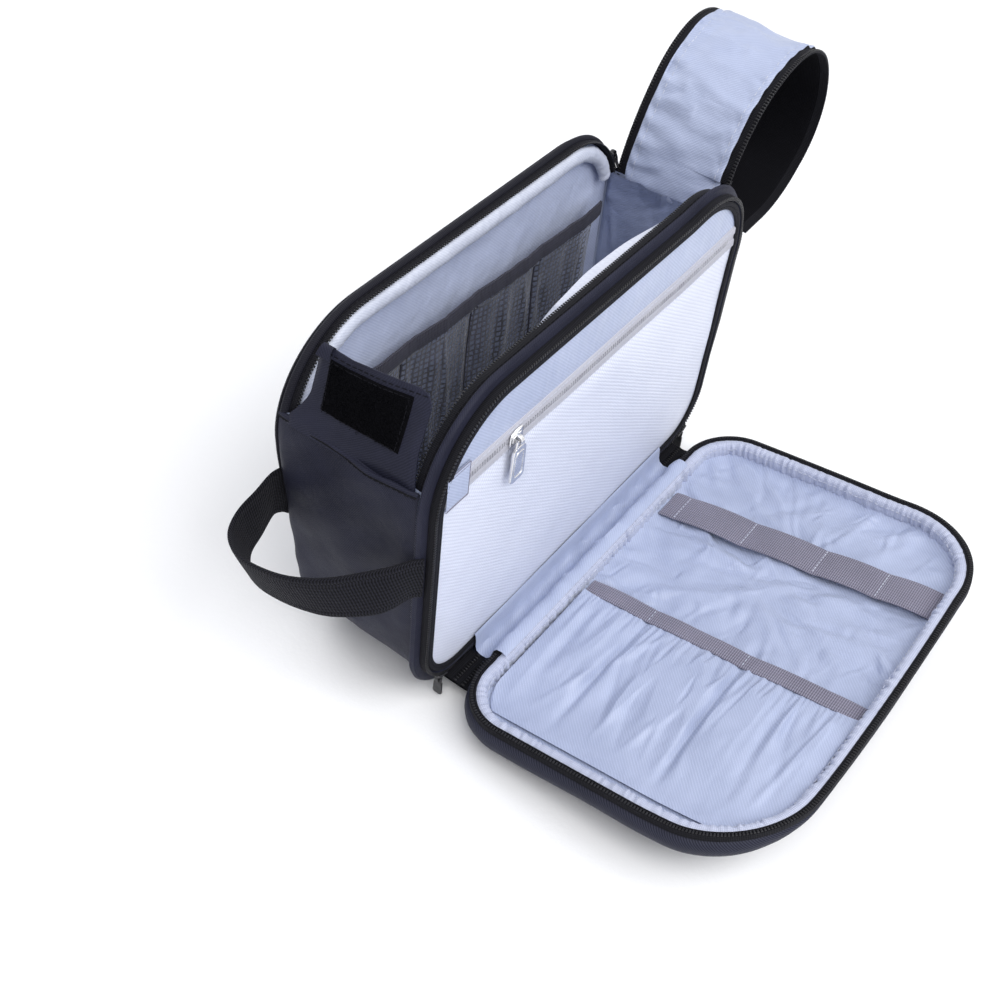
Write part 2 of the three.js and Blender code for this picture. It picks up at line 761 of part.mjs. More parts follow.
function lidProfile() {
  const [y0, y1] = lidWidthY;
  const thick = lidThickness / 2;
  const thin = lidEdgeThickness / 2;
  return new THREE.Shape([
    new THREE.Vector2(y0, -thin),
    new THREE.Vector2(y0 + lidEdgeWidth, -thin),
    new THREE.Vector2(y0 + lidEdgeWidth + (thick - thin), -thick),
    new THREE.Vector2(y1 - lidEdgeWidth - (thick - thin), -thick),
    new THREE.Vector2(y1 - lidEdgeWidth, -thin),
    new THREE.Vector2(y1, -thin),
    new THREE.Vector2(y1, thin),
    new THREE.Vector2(y1 - lidEdgeWidth, thin),
    new THREE.Vector2(y1 - lidEdgeWidth - (thick - thin), thick),
    new THREE.Vector2(y0 + lidEdgeWidth + (thick - thin), thick),
    new THREE.Vector2(y0 + lidEdgeWidth, thin),
    new THREE.Vector2(y0, thin),
  ]);
}

// Local X runs along the panel from its hinge, local Y across the lid, local Z off the lining side
function lidPanel(length) {
  const geometry = new THREE.ExtrudeGeometry(lidProfile(), { depth: length, bevelEnabled: false });
  const turn = new THREE.Matrix4().makeBasis(
    new THREE.Vector3(0, 1, 0),
    new THREE.Vector3(0, 0, 1),
    new THREE.Vector3(1, 0, 0),
  );
  return geometry.applyMatrix4(turn).translate(lidFoldGap, 0, 0);
}

const lidHinge = new THREE.Vector3(arcX(lidRadius, lidSeamHeight), 0, lidSeamHeight);
lidHeadings.forEach((heading, i) => {
  const angle = THREE.MathUtils.degToRad(heading);
  const panel = new THREE.Group();
  panel.position.copy(lidHinge);
  panel.rotation.y = -angle;
  bag.add(panel);
  const isLast = i === lidPanels - 1;
  const length = lidStep - 2 * lidFoldGap - (isLast ? lidHemLength + seamGap - lidFoldGap : 0);
  add(panel, `lid_panel_${i + 1}`, 'shell', lidPanel(length));
  if (isLast) {
    const hemX = [lidStep - lidHemLength, lidStep];
    const hemY = [lidWidthY[0] + lidHemSideInset, lidWidthY[1] - lidHemSideInset];
    add(panel, 'lid_hem', 'shell', block(hemX, hemY, [-lidHemThickness / 2, lidHemThickness / 2]));
    const midY = (lidWidthY[0] + lidWidthY[1]) / 2;
    const hookX1 = lidStep - lidHemLength - seamGap;
    const hookY = [midY - hookPatchWidth / 2, midY + hookPatchWidth / 2];
    const hookZ = [lidThickness / 2 + seamGap, lidThickness / 2 + seamGap + hookPatchThickness];
    add(panel, 'lid_hook_patch', 'webbing', block([hookX1 - hookPatchLength, hookX1], hookY, hookZ));
  }
  lidHinge.x += lidStep * Math.cos(angle);
  lidHinge.z += lidStep * Math.sin(angle);
});

// Tongue: a flap that stands on the handle end's seam, local X along it from the seam
const tongue = new THREE.Group();
tongue.position.set(-arcX(topCorner - tongueSeamInset, tongueSeamHeight), 0, tongueSeamHeight);
tongue.rotation.y = -THREE.MathUtils.degToRad(tongueLean);
bag.add(tongue);
const tongueY = [frontY + tongueFrontInset, rearY - tongueRearInset];
const tongueZ = [-tongueThickness / 2, tongueThickness / 2];
add(tongue, 'handle_end_tongue', 'shell', block([tongueFoldGap, tongueLength], tongueY, tongueZ));
const tongueMidY = (tongueY[0] + tongueY[1]) / 2;
const loopY = [tongueMidY - loopPatchWidth / 2, tongueMidY + loopPatchWidth / 2];
const loopZ = [tongueZ[1] + seamGap, tongueZ[1] + seamGap + loopPatchThickness];
const loopX = [loopPatchStart, loopPatchStart + loopPatchLength];
add(tongue, 'loop_patch', 'webbing', block(loopX, loopY, loopZ));

// Handle: a webbing loop whose two edges run at their own reach, narrowed where it meets its sewn ends
const handlePivotX = -half - handleStandOff;

function edgeCurve(shares, height) {
  const points = shares.map(([reach, span]) => (
    new THREE.Vector3(handlePivotX - reach * handleReach, handleMiddleY + span * handleSpan, height)
  ));
  return new THREE.CatmullRomCurve3(points, false, 'centripetal');
}

function handleSection(upper, lower, t) {
  const rise = Math.min(1, Math.min(t, 1 - t) / handleTaperShare);
  const tall = handleEndHeight + (handleWidth - handleEndHeight) * rise;
  return [1, -1].flatMap((side) => {
    const blend = (1 - side * rise) / 2;
    const place = upper.getPoint(t).lerp(lower.getPoint(t), blend);
    const along = upper.getTangent(t).lerp(lower.getTangent(t), blend).normalize();
    const out = new THREE.Vector3(along.y, -along.x, 0).multiplyScalar(handleThickness / 2);
    place.z = handleHeight + (side * tall) / 2;
    return [place.clone().add(out).toArray(), place.clone().sub(out).toArray()].flat();
  });
}

function handleStrap() {
  const upper = edgeCurve(handleUpperShares, handleHeight);
  const lower = edgeCurve(handleLowerShares, handleHeight);
  const positions = [];
  const triangles = [];
  const quad = (a, b, c, d) => triangles.push(a, b, c, a, c, d);
  for (let i = 0; i <= handleSteps; i += 1) {
    positions.push(...handleSection(upper, lower, i / handleSteps));
  }
  for (let i = 0; i < handleSteps; i += 1) {
    const k = 4 * i;
    quad(k, k + 4, k + 5, k + 1);
    quad(k + 2, k + 3, k + 7, k + 6);
    quad(k, k + 2, k + 6, k + 4);
    quad(k + 1, k + 5, k + 7, k + 3);
  }
  const last = 4 * handleSteps;
  quad(0, 1, 3, 2);
  quad(last, last + 2, last + 3, last + 1);
  const geometry = new THREE.BufferGeometry();
  geometry.setAttribute('position', new THREE.Float32BufferAttribute(positions, 3));
  geometry.setIndex(triangles);
  geometry.computeVertexNormals();
  return geometry;
}

add(bag, 'handle_strap', 'webbing', handleStrap());

// The webbing's two sewn ends, standing off the end panel's seams beside the loop
for (const [name, side] of [['rear', 1], ['front', -1]]) {
  const innerY = handleMiddleY + side * (handleSpan / 2 + handleThickness / 2 + stubGap);
  const outerY = innerY + side * stubThickness;
  const stubY = [Math.min(innerY, outerY), Math.max(innerY, outerY)];
  const stubX = [handlePivotX - handleEndHeight / 2, -half - seamGap];
  const stubZ = [handleHeight - handleWidth / 2, handleHeight + handleWidth / 2];
  add(bag, `handle_sewn_end_${name}`, 'webbing', block(stubX, stubY, stubZ));
}

// Zip slider: local X along the zip, Y across it, Z away from the tape.
// Its lug carries the puller's pin, along X or along Y.
function sliderSolid(width, pinAlongZip) {
  const outlinePoints = [
    [-sliderLength / 2, -width * sliderNoseShare / 2],
    [0, -width / 2],
    [sliderLength / 2, -width / 2],
    [sliderLength / 2, width / 2],
    [0, width / 2],
    [-sliderLength / 2, width * sliderNoseShare / 2],
  ].map(([x, y]) => new THREE.Vector2(x, y));
  const shape = new THREE.Shape(outlinePoints);
  const base = new THREE.ExtrudeGeometry(shape, { depth: sliderPlate, bevelEnabled: false });
  base.translate(0, 0, seamGap);
  const lugTop = lugHoleHeight + lugHoleRadius + lugCrown;
  const lugX = [-lugLength / 2, lugLength / 2];
  const lugY = [-lugThickness / 2, lugThickness / 2];
  const lug = block(lugX, lugY, [seamGap, lugTop]);
  const hole = new THREE.CylinderGeometry(lugHoleRadius, lugHoleRadius, 2 * overrun, pipingSides);
  hole.translate(0, 0, lugHoleHeight);
  const ear = cut(lug, hole);
  if (pinAlongZip) ear.rotateZ(Math.PI / 2);
  return join(base, ear);
}

// Puller: a pin through the lug, two prongs and a plate along local X from the pin, thin along Z
function pullerSolid(length, width) {
  const inner = lugThickness / 2 + forkGap;
  const outer = inner + prongThickness;
  const pin = new THREE.CylinderGeometry(pinRadius, pinRadius, 2 * inner + prongThickness, pipingSides);
  const prongX = [-prongHeight / 2, forkReach + seamGap];
  const prongZ = [-pullerPlate / 2, pullerPlate / 2];
  const left = block(prongX, [-outer, -inner], prongZ);
  const right = block(prongX, [inner, outer], prongZ);
  const plateShape = new THREE.Shape([
    new THREE.Vector2(forkReach, -outer),
    new THREE.Vector2(forkReach + outer, -width / 2),
    new THREE.Vector2(length - outer, -width / 2),
    new THREE.Vector2(length, -outer / 2),
    new THREE.Vector2(length, outer / 2),
    new THREE.Vector2(length - outer, width / 2),
    new THREE.Vector2(forkReach + outer, width / 2),
    new THREE.Vector2(forkReach, outer),
  ]);
  const grip = new THREE.ExtrudeGeometry(plateShape, { depth: pullerPlate, bevelEnabled: false });
  grip.translate(0, 0, -pullerPlate / 2);
  return join(pin, left, right, grip);
}

function placed(name, look, geometry, origin, xAxis, yAxis, zAxis) {
  const group = new THREE.Group();
  const matrix = new THREE.Matrix4().makeBasis(xAxis, yAxis, zAxis).setPosition(origin);
  group.applyMatrix4(matrix);
  bag.add(group);
  add(group, name, look, geometry);
}

function vec(x, y, z) {
  return new THREE.Vector3(x, y, z);
}

// A slider whose zip runs along `along`, standing off the tape along `out`, with its puller along `hang`
function zipPull({ name, look, at, along, out, hang, pullerLength, pullerWidth, width = sliderWidth }) {
  const across = out.clone().cross(along);
  const pinAlongZip = Math.abs(hang.dot(across)) > Math.abs(hang.dot(along));
  placed(`${name}_slider`, look, sliderSolid(width, pinAlongZip), at, along, across, out);
  const pinAxis = pinAlongZip ? along : across;
  const hinge = at.clone().addScaledVector(out, lugHoleHeight);
  const thin = hang.clone().cross(pinAxis);
  placed(`${name}_puller`, look, pullerSolid(pullerLength, pullerWidth), hinge, hang, pinAxis, thin);
}

zipPull({
  name: 'inner_pocket',
  look: 'silver',
  at: vec(innerSliderX, frontPanelY[0] - innerTrackRise, innerZipHeight),
  along: vec(1, 0, 0),
  out: vec(0, -1, 0),
  hang: vec(0, 0, -1),
  width: sliderWide,
  pullerLength: metalPullerLength,
  pullerWidth: metalPullerWidth,
});

zipPull({
  name: 'rear_pocket',
  look: 'zip',
  at: vec(rearSliderX, rearTapeFaceY + rearTrackRise, rearPocketHeight),
  along: vec(1, 0, 0),
  out: vec(0, 1, 0),
  hang: vec(0, 0, -1),
  width: sliderWide,
  pullerLength: metalPullerLength,
  pullerWidth: cordPullerWidth,
});

// Sliders of the lid zips, parked at the lid's sewn end, with cord pullers down the end panel
const lidParked = THREE.MathUtils.degToRad(lidSliderAngle);
const lidOut = vec(Math.cos(lidParked), 0, Math.sin(lidParked));
const lidDown = vec(Math.sin(lidParked), 0, -Math.cos(lidParked));
const lidSliderYs = [frontTapeY[1] - sliderWidth / 2, rearTapeY[0] + sliderWidth / 2];
for (const [name, y] of [['front_lid_zip', lidSliderYs[0]], ['rear_lid_zip', lidSliderYs[1]]]) {
  zipPull({
    name,
    look: 'zip',
    at: vec(topCentreX, y, topCentreZ).addScaledVector(lidOut, topCorner - lidTapeInset),
    along: lidDown.clone().negate(),
    out: lidOut,
    hang: lidDown,
    pullerLength: cordPullerLength,
    pullerWidth: cordPullerWidth,
  });
}

// Sliders of the flap zip, parked at the two ends of the hinge
const baseCentreX = flapZipFrame.half - flapZipFrame.lowCorner;
const baseCentreZ = flapZipFrame.low + flapZipFrame.lowCorner;
const flapParked = THREE.MathUtils.degToRad(flapSliderAngle);
for (const [name, side] of [['flap_zip_left', -1], ['flap_zip_right', 1]]) {
  const out = vec(side * Math.cos(flapParked), 0, -Math.sin(flapParked));
  zipPull({
    name,
    look: 'zip',
    at: vec(side * baseCentreX, zipZoneRear - seamGap - sliderWidth / 2, baseCentreZ)
      .addScaledVector(out, flapZipFrame.lowCorner + flapZipLip),
    along: vec(side * Math.sin(flapParked), 0, Math.cos(flapParked)),
    out,
    hang: vec(0, 0, -1),
    pullerLength: shortPullerLength,
    pullerWidth: cordPullerWidth,
  });
}

export default bag;
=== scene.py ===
import bpy
import bmesh
import numpy as np
from math import asin, atan2, cos, degrees, exp, pi, radians, sin, sqrt
from mathutils import Matrix, Vector


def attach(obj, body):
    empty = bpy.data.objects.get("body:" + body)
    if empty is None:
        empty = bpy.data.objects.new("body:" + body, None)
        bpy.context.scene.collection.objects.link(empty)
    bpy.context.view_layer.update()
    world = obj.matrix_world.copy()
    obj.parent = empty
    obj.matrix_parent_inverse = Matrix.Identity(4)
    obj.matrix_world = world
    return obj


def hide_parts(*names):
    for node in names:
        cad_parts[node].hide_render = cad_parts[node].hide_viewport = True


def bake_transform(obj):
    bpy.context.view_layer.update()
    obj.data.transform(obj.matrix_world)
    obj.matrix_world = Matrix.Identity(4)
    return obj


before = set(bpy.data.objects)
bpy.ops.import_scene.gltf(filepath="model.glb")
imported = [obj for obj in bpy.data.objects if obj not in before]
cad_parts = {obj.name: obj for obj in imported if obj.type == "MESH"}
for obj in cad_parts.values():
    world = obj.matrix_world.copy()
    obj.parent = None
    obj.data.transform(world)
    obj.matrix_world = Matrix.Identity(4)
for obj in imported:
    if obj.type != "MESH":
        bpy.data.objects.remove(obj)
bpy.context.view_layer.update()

# Lengths are in millimetres in the part's frame, and turn to metres when a mesh is made.
FRONT, REAR, UP, DOWN = (0, -1, 0), (0, 1, 0), (0, 0, 1), (0, 0, -1)


def link(name, data):
    ob = bpy.data.objects.new(name, data)
    bpy.context.scene.collection.objects.link(ob)
    return ob


def unit(V):
    return V / np.linalg.norm(V, axis=-1, keepdims=True)


def xyz(x, y, z):
    """Points from coordinates that are arrays or single numbers."""
    return np.stack(np.broadcast_arrays(x, y, z), -1).astype(float)


def ease(v, start, span):
    """0 at start, 1 at start + span and beyond, straight between."""
    return np.clip((v - start) / span, 0, 1)


def smooth(c):
    return c * c * (3 - 2 * c)


def lengths(P):
    """Length run at each point of a path."""
    return np.concatenate([[0], np.cumsum(np.linalg.norm(np.diff(P, axis=0), axis=1))])


def loop(n):
    """n angles once round."""
    return np.linspace(0, 2 * pi, n + 1)[:-1]


# camera
TARGET = np.array([-75.6, -45.0, 110.6])
AZ, EL, ROLL, DIST = -1.02405, 0.81466, 0.12111, 597.34
FOCAL_PX, SENSOR = 1374.31, 36


def make_camera():
    back = np.array([sin(AZ) * cos(EL), -cos(AZ) * cos(EL), sin(EL)])
    right = unit(np.cross(-back, UP))
    up = np.cross(right, -back)
    axes = [right * cos(ROLL) + up * sin(ROLL), -right * sin(ROLL) + up * cos(ROLL), back]
    data = bpy.data.cameras.new("camera")
    data.sensor_width = SENSOR
    data.lens = FOCAL_PX * SENSOR / 1000
    data.clip_start, data.clip_end = 0.01, 30
    cam = link("camera", data)
    rows = np.column_stack(axes + [(TARGET + back * DIST) / 1000]).tolist()
    cam.matrix_world = Matrix(rows + [[0, 0, 0, 1]])
    bpy.context.scene.camera = cam


make_camera()

# outlines

# Half width, heights of the low and high edge, radii of the low and high corners.
BODY = dict(half=127.0, low=0.0, high=184.0, rl=42.0, rh=50.0)
ZIP = dict(half=122.0, low=16.0, high=180.0, rl=27.0, rh=46.0)
HIGH_X, HIGH_Z = BODY["half"] - BODY["rh"], BODY["high"] - BODY["rh"]     # centre of the body's high corner
LOW_X, LOW_Z = ZIP["half"] - ZIP["rl"], ZIP["low"] + ZIP["rl"]            # centre of the zip's low corner
ARCH_END = 14                           # how far above the high corner's centre the arches end
MID = np.array([0.0, 98.0])
HT, CN, SD, BT = 44, 26, 32, 84         # points on half the top, a corner, a side and the bottom
COUNT = 2 * HT + 4 * CN + 2 * SD + BT
# share of a high corner between the side and the arch's end
SEAM = degrees(asin(ARCH_END / BODY["rh"])) / 90
I_SL = HT + CN * (1 - SEAM)
I_SR = COUNT - HT - CN + CN * SEAM


def outline(f, grow=0.0):
    """Points and outward normals from the top centre, by the handle end, round to the top centre."""
    half, low, high, rl, rh = f.values()
    P, N = [], []

    def line(x0, z0, x1, z1, n, nx, nz):
        for t in np.arange(n) / n:
            P.append((x0 + (x1 - x0) * t, z0 + (z1 - z0) * t))
            N.append((nx, nz))

    def corner(cx, cz, r, a0):
        for i in range(CN):
            a = a0 + pi / 2 * i / CN
            P.append((cx + r * cos(a), cz + r * sin(a)))
            N.append((cos(a), sin(a)))
    line(0, high, -half + rh, high, HT, 0, 1)
    corner(-half + rh, high - rh, rh, pi / 2)
    line(-half, high - rh, -half, low + rl, SD, -1, 0)
    corner(-half + rl, low + rl, rl, pi)
    line(-half + rl, low, half - rl, low, BT, 0, -1)
    corner(half - rl, low + rl, rl, 1.5 * pi)
    line(half, low + rl, half, high - rh, SD, 1, 0)
    corner(half - rh, high - rh, rh, 0)
    line(half - rh, high, 0, high, HT, 0, 1)
    P, N = np.array(P), np.array(N)
    return P + N * grow, N


def half_width(f, z, inset):
    """Half the width of an outline at height z, drawn in by inset."""
    over = np.maximum(z - (f["high"] - f["rh"]), 0)
    under = np.maximum(f["low"] + f["rl"] - z, 0)
    high = f["half"] - f["rh"] + np.sqrt(np.maximum((f["rh"] - inset) ** 2 - over ** 2, 0))
    low = f["half"] - f["rl"] + np.sqrt(np.maximum((f["rl"] - inset) ** 2 - under ** 2, 0))
    return np.where(under > 0, low, high)


def take(A, i0, i1, n):
    """n rows of a closed outline's array between two fractional indices."""
    if i1 <= i0:
        i1 += len(A)
    x = np.linspace(i0, i1, n)
    k = np.floor(x).astype(int)
    f = (x - k)[:, None]
    return A[k % len(A)] * (1 - f) + A[(k + 1) % len(A)] * f


def at_y(P, y):
    return xyz(P[:, 0], y, P[:, 1])


def ripple(P, size, seed, stretch=(1, 1, 1)):
    """Soft irregular waves of about the given size."""
    r = np.random.default_rng(seed)
    out = np.zeros(P.shape[:-1])
    for _ in range(8):
        d = r.normal(size=3)
        d /= np.linalg.norm(d)
        turns = 6.283 / (size * r.uniform(0.6, 1.7))
        out += np.sin((P * np.array(stretch)) @ d * turns + r.uniform(0, 6.28))
    return out / 2.8


def creases(x, z, seed, count, box, length, width, depth, angle=None, spread=0.5):
    """Soft ridges and valleys scattered over a cloth: short curved folds that fade at both ends."""
    r = np.random.default_rng(seed)
    out = np.zeros(np.broadcast(x, z).shape)
    for _ in range(count):
        cx, cz = r.uniform(box[0], box[1]), r.uniform(box[2], box[3])
        a = (angle(cx, cz) if angle else r.uniform(0, pi)) + r.normal() * spread
        L, w, d = r.uniform(*length) / 2, r.uniform(*width), r.uniform(*depth) * r.choice([-1, 1])
        dx, dz = x - cx, z - cz
        u = (dx * cos(a) + dz * sin(a)) / L
        v = -dx * sin(a) + dz * cos(a) + r.normal() * 0.12 * L * u ** 2
        w2 = w * (1 + 0.5 * u ** 2)
        valley = 0.45 * np.exp(-((v - 1.6 * w2) / (1.5 * w2)) ** 2)
        out += d * np.exp(-u ** 2 * 1.8) * (np.exp(-(v / w2) ** 2) - valley)
    return out


# materials
class Shader:
    """A material's node tree, with the coordinates that its textures use (ten millimetres to a unit)."""

    def __init__(self, name, uv=True):
        self.mat = bpy.data.materials.new(name)
        self.mat.use_nodes = True
        self.nt = self.mat.node_tree
        tc = self.node("TexCoord")
        self.vec = tc.outputs["UV"] if uv else self.mapping((100, 100, 100), vec=tc.outputs["Object"])

    def feed(self, n, inputs):
        """Sets a node's inputs: a number or tuple as the value, a socket as a link."""
        for key, value in inputs.items():
            if isinstance(value, (int, float, tuple)):
                n.inputs[key].default_value = value
            else:
                self.nt.links.new(value, n.inputs[key])

    def node(self, kind, inputs=None, **props):
        n = self.nt.nodes.new("ShaderNode" + kind)
        for key, value in props.items():
            setattr(n, key, value)
        self.feed(n, inputs or {})
        return n

    def mapping(self, scale, turn=0.0, vec=None):
        vec = self.vec if vec is None else vec
        return self.node("Mapping", {"Vector": vec, "Scale": scale, "Rotation": (0, 0, turn)}).outputs[0]

    def calc(self, op, *values):
        return self.node("Math", dict(enumerate(values)), operation=op).outputs[0]

    def lin(self, value, gain, offset):
        return self.calc("ADD", self.calc("MULTIPLY", value, gain), offset)

    def wave(self, direction, pitch, distort):
        scale = (4.44 if direction == "DIAGONAL" else 3.1416) / pitch
        inputs = {"Vector": self.vec, "Scale": scale, "Distortion": distort, "Detail": 1.0}
        return self.node("TexWave", inputs, bands_direction=direction).outputs["Fac"]

    def noise(self, size, detail=3.0, stretch=(1, 1, 1)):
        vec = self.mapping(tuple(10 / size * s for s in stretch))
        inputs = {"Vector": vec, "Scale": 1.0, "Detail": detail, "Roughness": 0.55}
        return self.node("TexNoise", inputs).outputs["Fac"]

    def voronoi(self, vec, feature, randomness):
        return self.node("TexVoronoi", {"Vector": vec, "Scale": 1.0, "Randomness": randomness},
                         feature=feature).outputs["Distance"]

    def ramp(self, fac, *stops):
        n = self.node("ValToRGB", {0: fac})
        for e, (place, colour) in zip(n.color_ramp.elements, stops):
            e.position = place
            e.color = (*colour, 1)
        return n.outputs[0]

    def bump(self, height, dist, strength=1.0, normal=None):
        inputs = {"Strength": strength, "Distance": dist, "Height": height}
        if normal is not None:
            inputs["Normal"] = normal
        return self.node("Bump", inputs).outputs[0]

    def done(self, inputs):
        self.feed(self.nt.nodes["Principled BSDF"], inputs)
        return self.mat


def cloth(name, dark, light, weave, pitch, depth, rough, sheen, sheen_tint, fold=0.25, fold_size=22,
          fold_stretch=(1, 1, 1), uv=True, spec=0.3, mottle=0.35):
    """Woven cloth: pitch is its thread spacing, depth its relief, fold and fold_size its soft unevenness."""
    s = Shader(name, uv)
    if weave == "plain":
        w = s.calc("MULTIPLY", s.wave("X", pitch, 0.6), s.wave("Y", pitch, 0.6))
    elif weave == "twill":
        w = s.calc("MULTIPLY", s.wave("DIAGONAL", pitch, 0.7), s.lin(s.wave("X", pitch * 0.6, 0.4), 0.5, 0.5))
    elif weave == "rib":
        w = s.lin(s.wave("X", pitch, 0.25), 0.75, s.calc("MULTIPLY", s.wave("Y", pitch * 1.5, 1.5), 0.25))
    else:
        w = s.noise(pitch, 2.0)
    big = s.noise(30)
    mix = s.lin(w, 1 - mottle, s.calc("MULTIPLY", big, mottle))
    normal = s.bump(w, depth / 1000)
    if fold:
        normal = s.bump(s.noise(fold_size, 3.0, fold_stretch), fold * 6 / 1000, 0.8, normal)
    return s.done({"Base Color": s.ramp(mix, (0.18, dark), (0.82, light)), "Normal": normal,
                   "Roughness": s.lin(big, 0.12, rough - 0.06), "Sheen Weight": sheen,
                   "Sheen Roughness": 0.45,
                   "Sheen Tint": (*sheen_tint, 1), "Specular IOR Level": spec})


def lining(name, dark, light, sheen=0.2, mottle=0.6):
    return cloth(name, dark, light, "twill", 1.25, 0.07, 0.42, sheen, (0.9, 0.95, 1), 0.3, 16, (1, 0.5, 1),
                 spec=0.5, mottle=mottle)


def plastic(name, dark, light, rough, metal=0.0, spec=0.5):
    """Hard plastic, coated metal or thread, with fine scratches."""
    s = Shader(name, uv=False)
    fine = s.noise(0.8, 2.0, (1, 6, 1))
    return s.done({"Base Color": s.ramp(s.noise(6, 4.0), (0.3, dark), (0.75, light)),
                   "Roughness": s.lin(fine, 0.18, rough - 0.09), "Normal": s.bump(fine, 0.04 / 1000),
                   "Metallic": metal, "Specular IOR Level": spec})


def embossed(name):
    """Coated sheet with slanting rows of small round cells."""
    s = Shader(name)
    cell = s.voronoi(s.mapping((5.6, 5.6, 5.6), 0.62), "F1", 0.08)
    shade = s.lin(cell, 0.75, s.calc("MULTIPLY", s.noise(45), 0.3))
    normal = s.bump(s.calc("SUBTRACT", 1.0, cell), 0.0003)
    return s.done({"Base Color": s.ramp(shade, (0.2, (0.72, 0.745, 0.845)), (0.8, (0.585, 0.615, 0.735))),
                   "Normal": s.bump(s.noise(55, 2.0), 0.004, 0.5, normal), "Roughness": s.lin(cell, 0.2, 0.3),
                   "Specular IOR Level": 0.45, "Coat Weight": 0.08})


def netting(name):
    s = Shader(name)
    edge = s.voronoi(s.mapping((3.5, 3.0, 1)), "DISTANCE_TO_EDGE", 0.22)
    thread = s.calc("LESS_THAN", edge, 0.17)
    return s.done({"Base Color": s.ramp(s.noise(14), (0.3, (0.012, 0.012, 0.019)),
                                        (0.75, (0.05, 0.05, 0.072))),
                   "Alpha": s.calc("MULTIPLY_ADD", thread, 0.78, 0.22),
                   "Normal": s.bump(s.calc("SUBTRACT", 0.4, edge), 0.0005), "Roughness": 0.7,
                   "Sheen Weight": 0.3})


DUSK = (0.6, 0.6, 0.8)                  # sheen tints
INDIGO = (0.6, 0.62, 0.8)
SKY = (0.9, 0.95, 1)
MAT = {
    "shell": cloth("shell_twill", (0.006, 0.0065, 0.014), (0.024, 0.0255, 0.048), "twill", 1.0, 0.08, 0.58,
                   0.02, INDIGO, 0.3, 34, spec=0.16, mottle=0.68),
    "band": cloth("band_cloth", (0.006, 0.006, 0.010), (0.024, 0.024, 0.034), "plain", 0.9, 0.1, 0.6, 0.02,
                  DUSK, 0.2, 26, spec=0.12),
    # a lighter copy of the shell cloth: painted light on the flap's gusset and face, which face down into
    # shade
    "flap_shell_painted_light": cloth("shell_twill_painted_light", (0.010, 0.011, 0.020), (0.042, 0.044, 0.070), "twill", 1.0, 0.08,
                       0.58, 0.02, INDIGO, 0.3, 34, spec=0.16),
    "black_cloth": cloth("lid_back_black", (0.002, 0.002, 0.003), (0.009, 0.009, 0.012), "plain", 0.9, 0.1,
                         0.8, 0.0, DUSK, 0.2, 30, spec=0.06),
    "tape": cloth("zip_tape", (0.003, 0.003, 0.004), (0.014, 0.014, 0.018), "rib", 0.8, 0.14, 0.7, 0.04,
                  (0.5, 0.5, 0.6), 0, spec=0.08),
    "teeth": plastic("zip_teeth", (0.004, 0.004, 0.005), (0.018, 0.018, 0.022), 0.38, spec=0.3),
    "webbing": cloth("webbing_black", (0.001, 0.001, 0.0015), (0.015, 0.015, 0.022), "rib", 1.35, 0.45,
                     0.75, 0.06, (0.6, 0.6, 0.65), 0.1, 12, mottle=0.15, spec=0.1),
    "fleece": cloth("loop_fleece", (0.0008, 0.0008, 0.001), (0.008, 0.008, 0.010), "fuzz", 0.7, 0.9, 0.95,
                    0.0, (0.5, 0.5, 0.55), 0.15, 6, spec=0.02),
    "lining": lining("lining_blue", (0.31, 0.355, 0.50), (0.45, 0.50, 0.665)),
    # a lighter copy of the lining: painted light for the rear wall's inner face and the compartment cloth
    "lining_painted_light": lining("lining_blue_painted_light", (0.44, 0.49, 0.66), (0.58, 0.63, 0.80)),
    # a darker copy of the lining: painted shade for the compartment's far end
    "lining_painted_shade": lining("lining_blue_painted_shade", (0.13, 0.16, 0.28), (0.36, 0.41, 0.58), 0.1, 1.0),
    "binding": cloth("lining_binding", (0.38, 0.41, 0.54), (0.60, 0.63, 0.76), "plain", 0.9, 0.08, 0.55,
                     0.35, SKY, 0.3, 7, (0.45, 1, 1), spec=0.4),
    "rim_cloth": cloth("rim_satin", (0.50, 0.53, 0.63), (0.66, 0.69, 0.79), "twill", 1.2, 0.06, 0.4, 0.2, SKY,
                       0.25, 9, spec=0.5, mottle=0.6),
    "dark_edge": cloth("pocket_edge_dark", (0.020, 0.020, 0.028), (0.065, 0.063, 0.082), "rib", 1.0, 0.2,
                       0.7, 0.05, (0.9, 0.9, 1), 0.1, 9, spec=0.25),
    "emboss": embossed("embossed_sheet"),
    "elastic": cloth("elastic_grey", (0.10, 0.095, 0.13), (0.29, 0.275, 0.35), "rib", 1.1, 0.3, 0.75, 0.25,
                     (0.9, 0.9, 1), 0.08, 8, mottle=0.3),
    "pale_tape": cloth("zip_tape_grey", (0.33, 0.33, 0.38), (0.52, 0.52, 0.58), "rib", 0.8, 0.12, 0.7, 0.2,
                       (1, 1, 1), 0),
    "pale_teeth": plastic("zip_teeth_grey", (0.30, 0.30, 0.34), (0.5, 0.5, 0.54), 0.4),
    "net": netting("pocket_net"),
    "silver": plastic("bright_zinc", (0.62, 0.62, 0.64), (0.82, 0.82, 0.83), 0.24, 1.0),
    "black_metal": plastic("black_coated_zinc", (0.010, 0.010, 0.012), (0.045, 0.045, 0.05), 0.3, 0.35),
    "cord": cloth("puller_cord", (0.006, 0.006, 0.008), (0.035, 0.035, 0.042), "rib", 1.0, 0.3, 0.7, 0.3,
                  (0.6, 0.6, 0.7), 0.05, 8, uv=False),
    "thread_dark": plastic("thread_dark", (0.003, 0.003, 0.004), (0.014, 0.014, 0.018), 0.85, spec=0.05),
    "thread_pale": plastic("thread_pale", (0.42, 0.45, 0.55), (0.6, 0.62, 0.7), 0.6),
}

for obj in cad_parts.values():
    for s in obj.material_slots:
        s.material = MAT["black_metal" if "slider" in obj.name else "shell"]


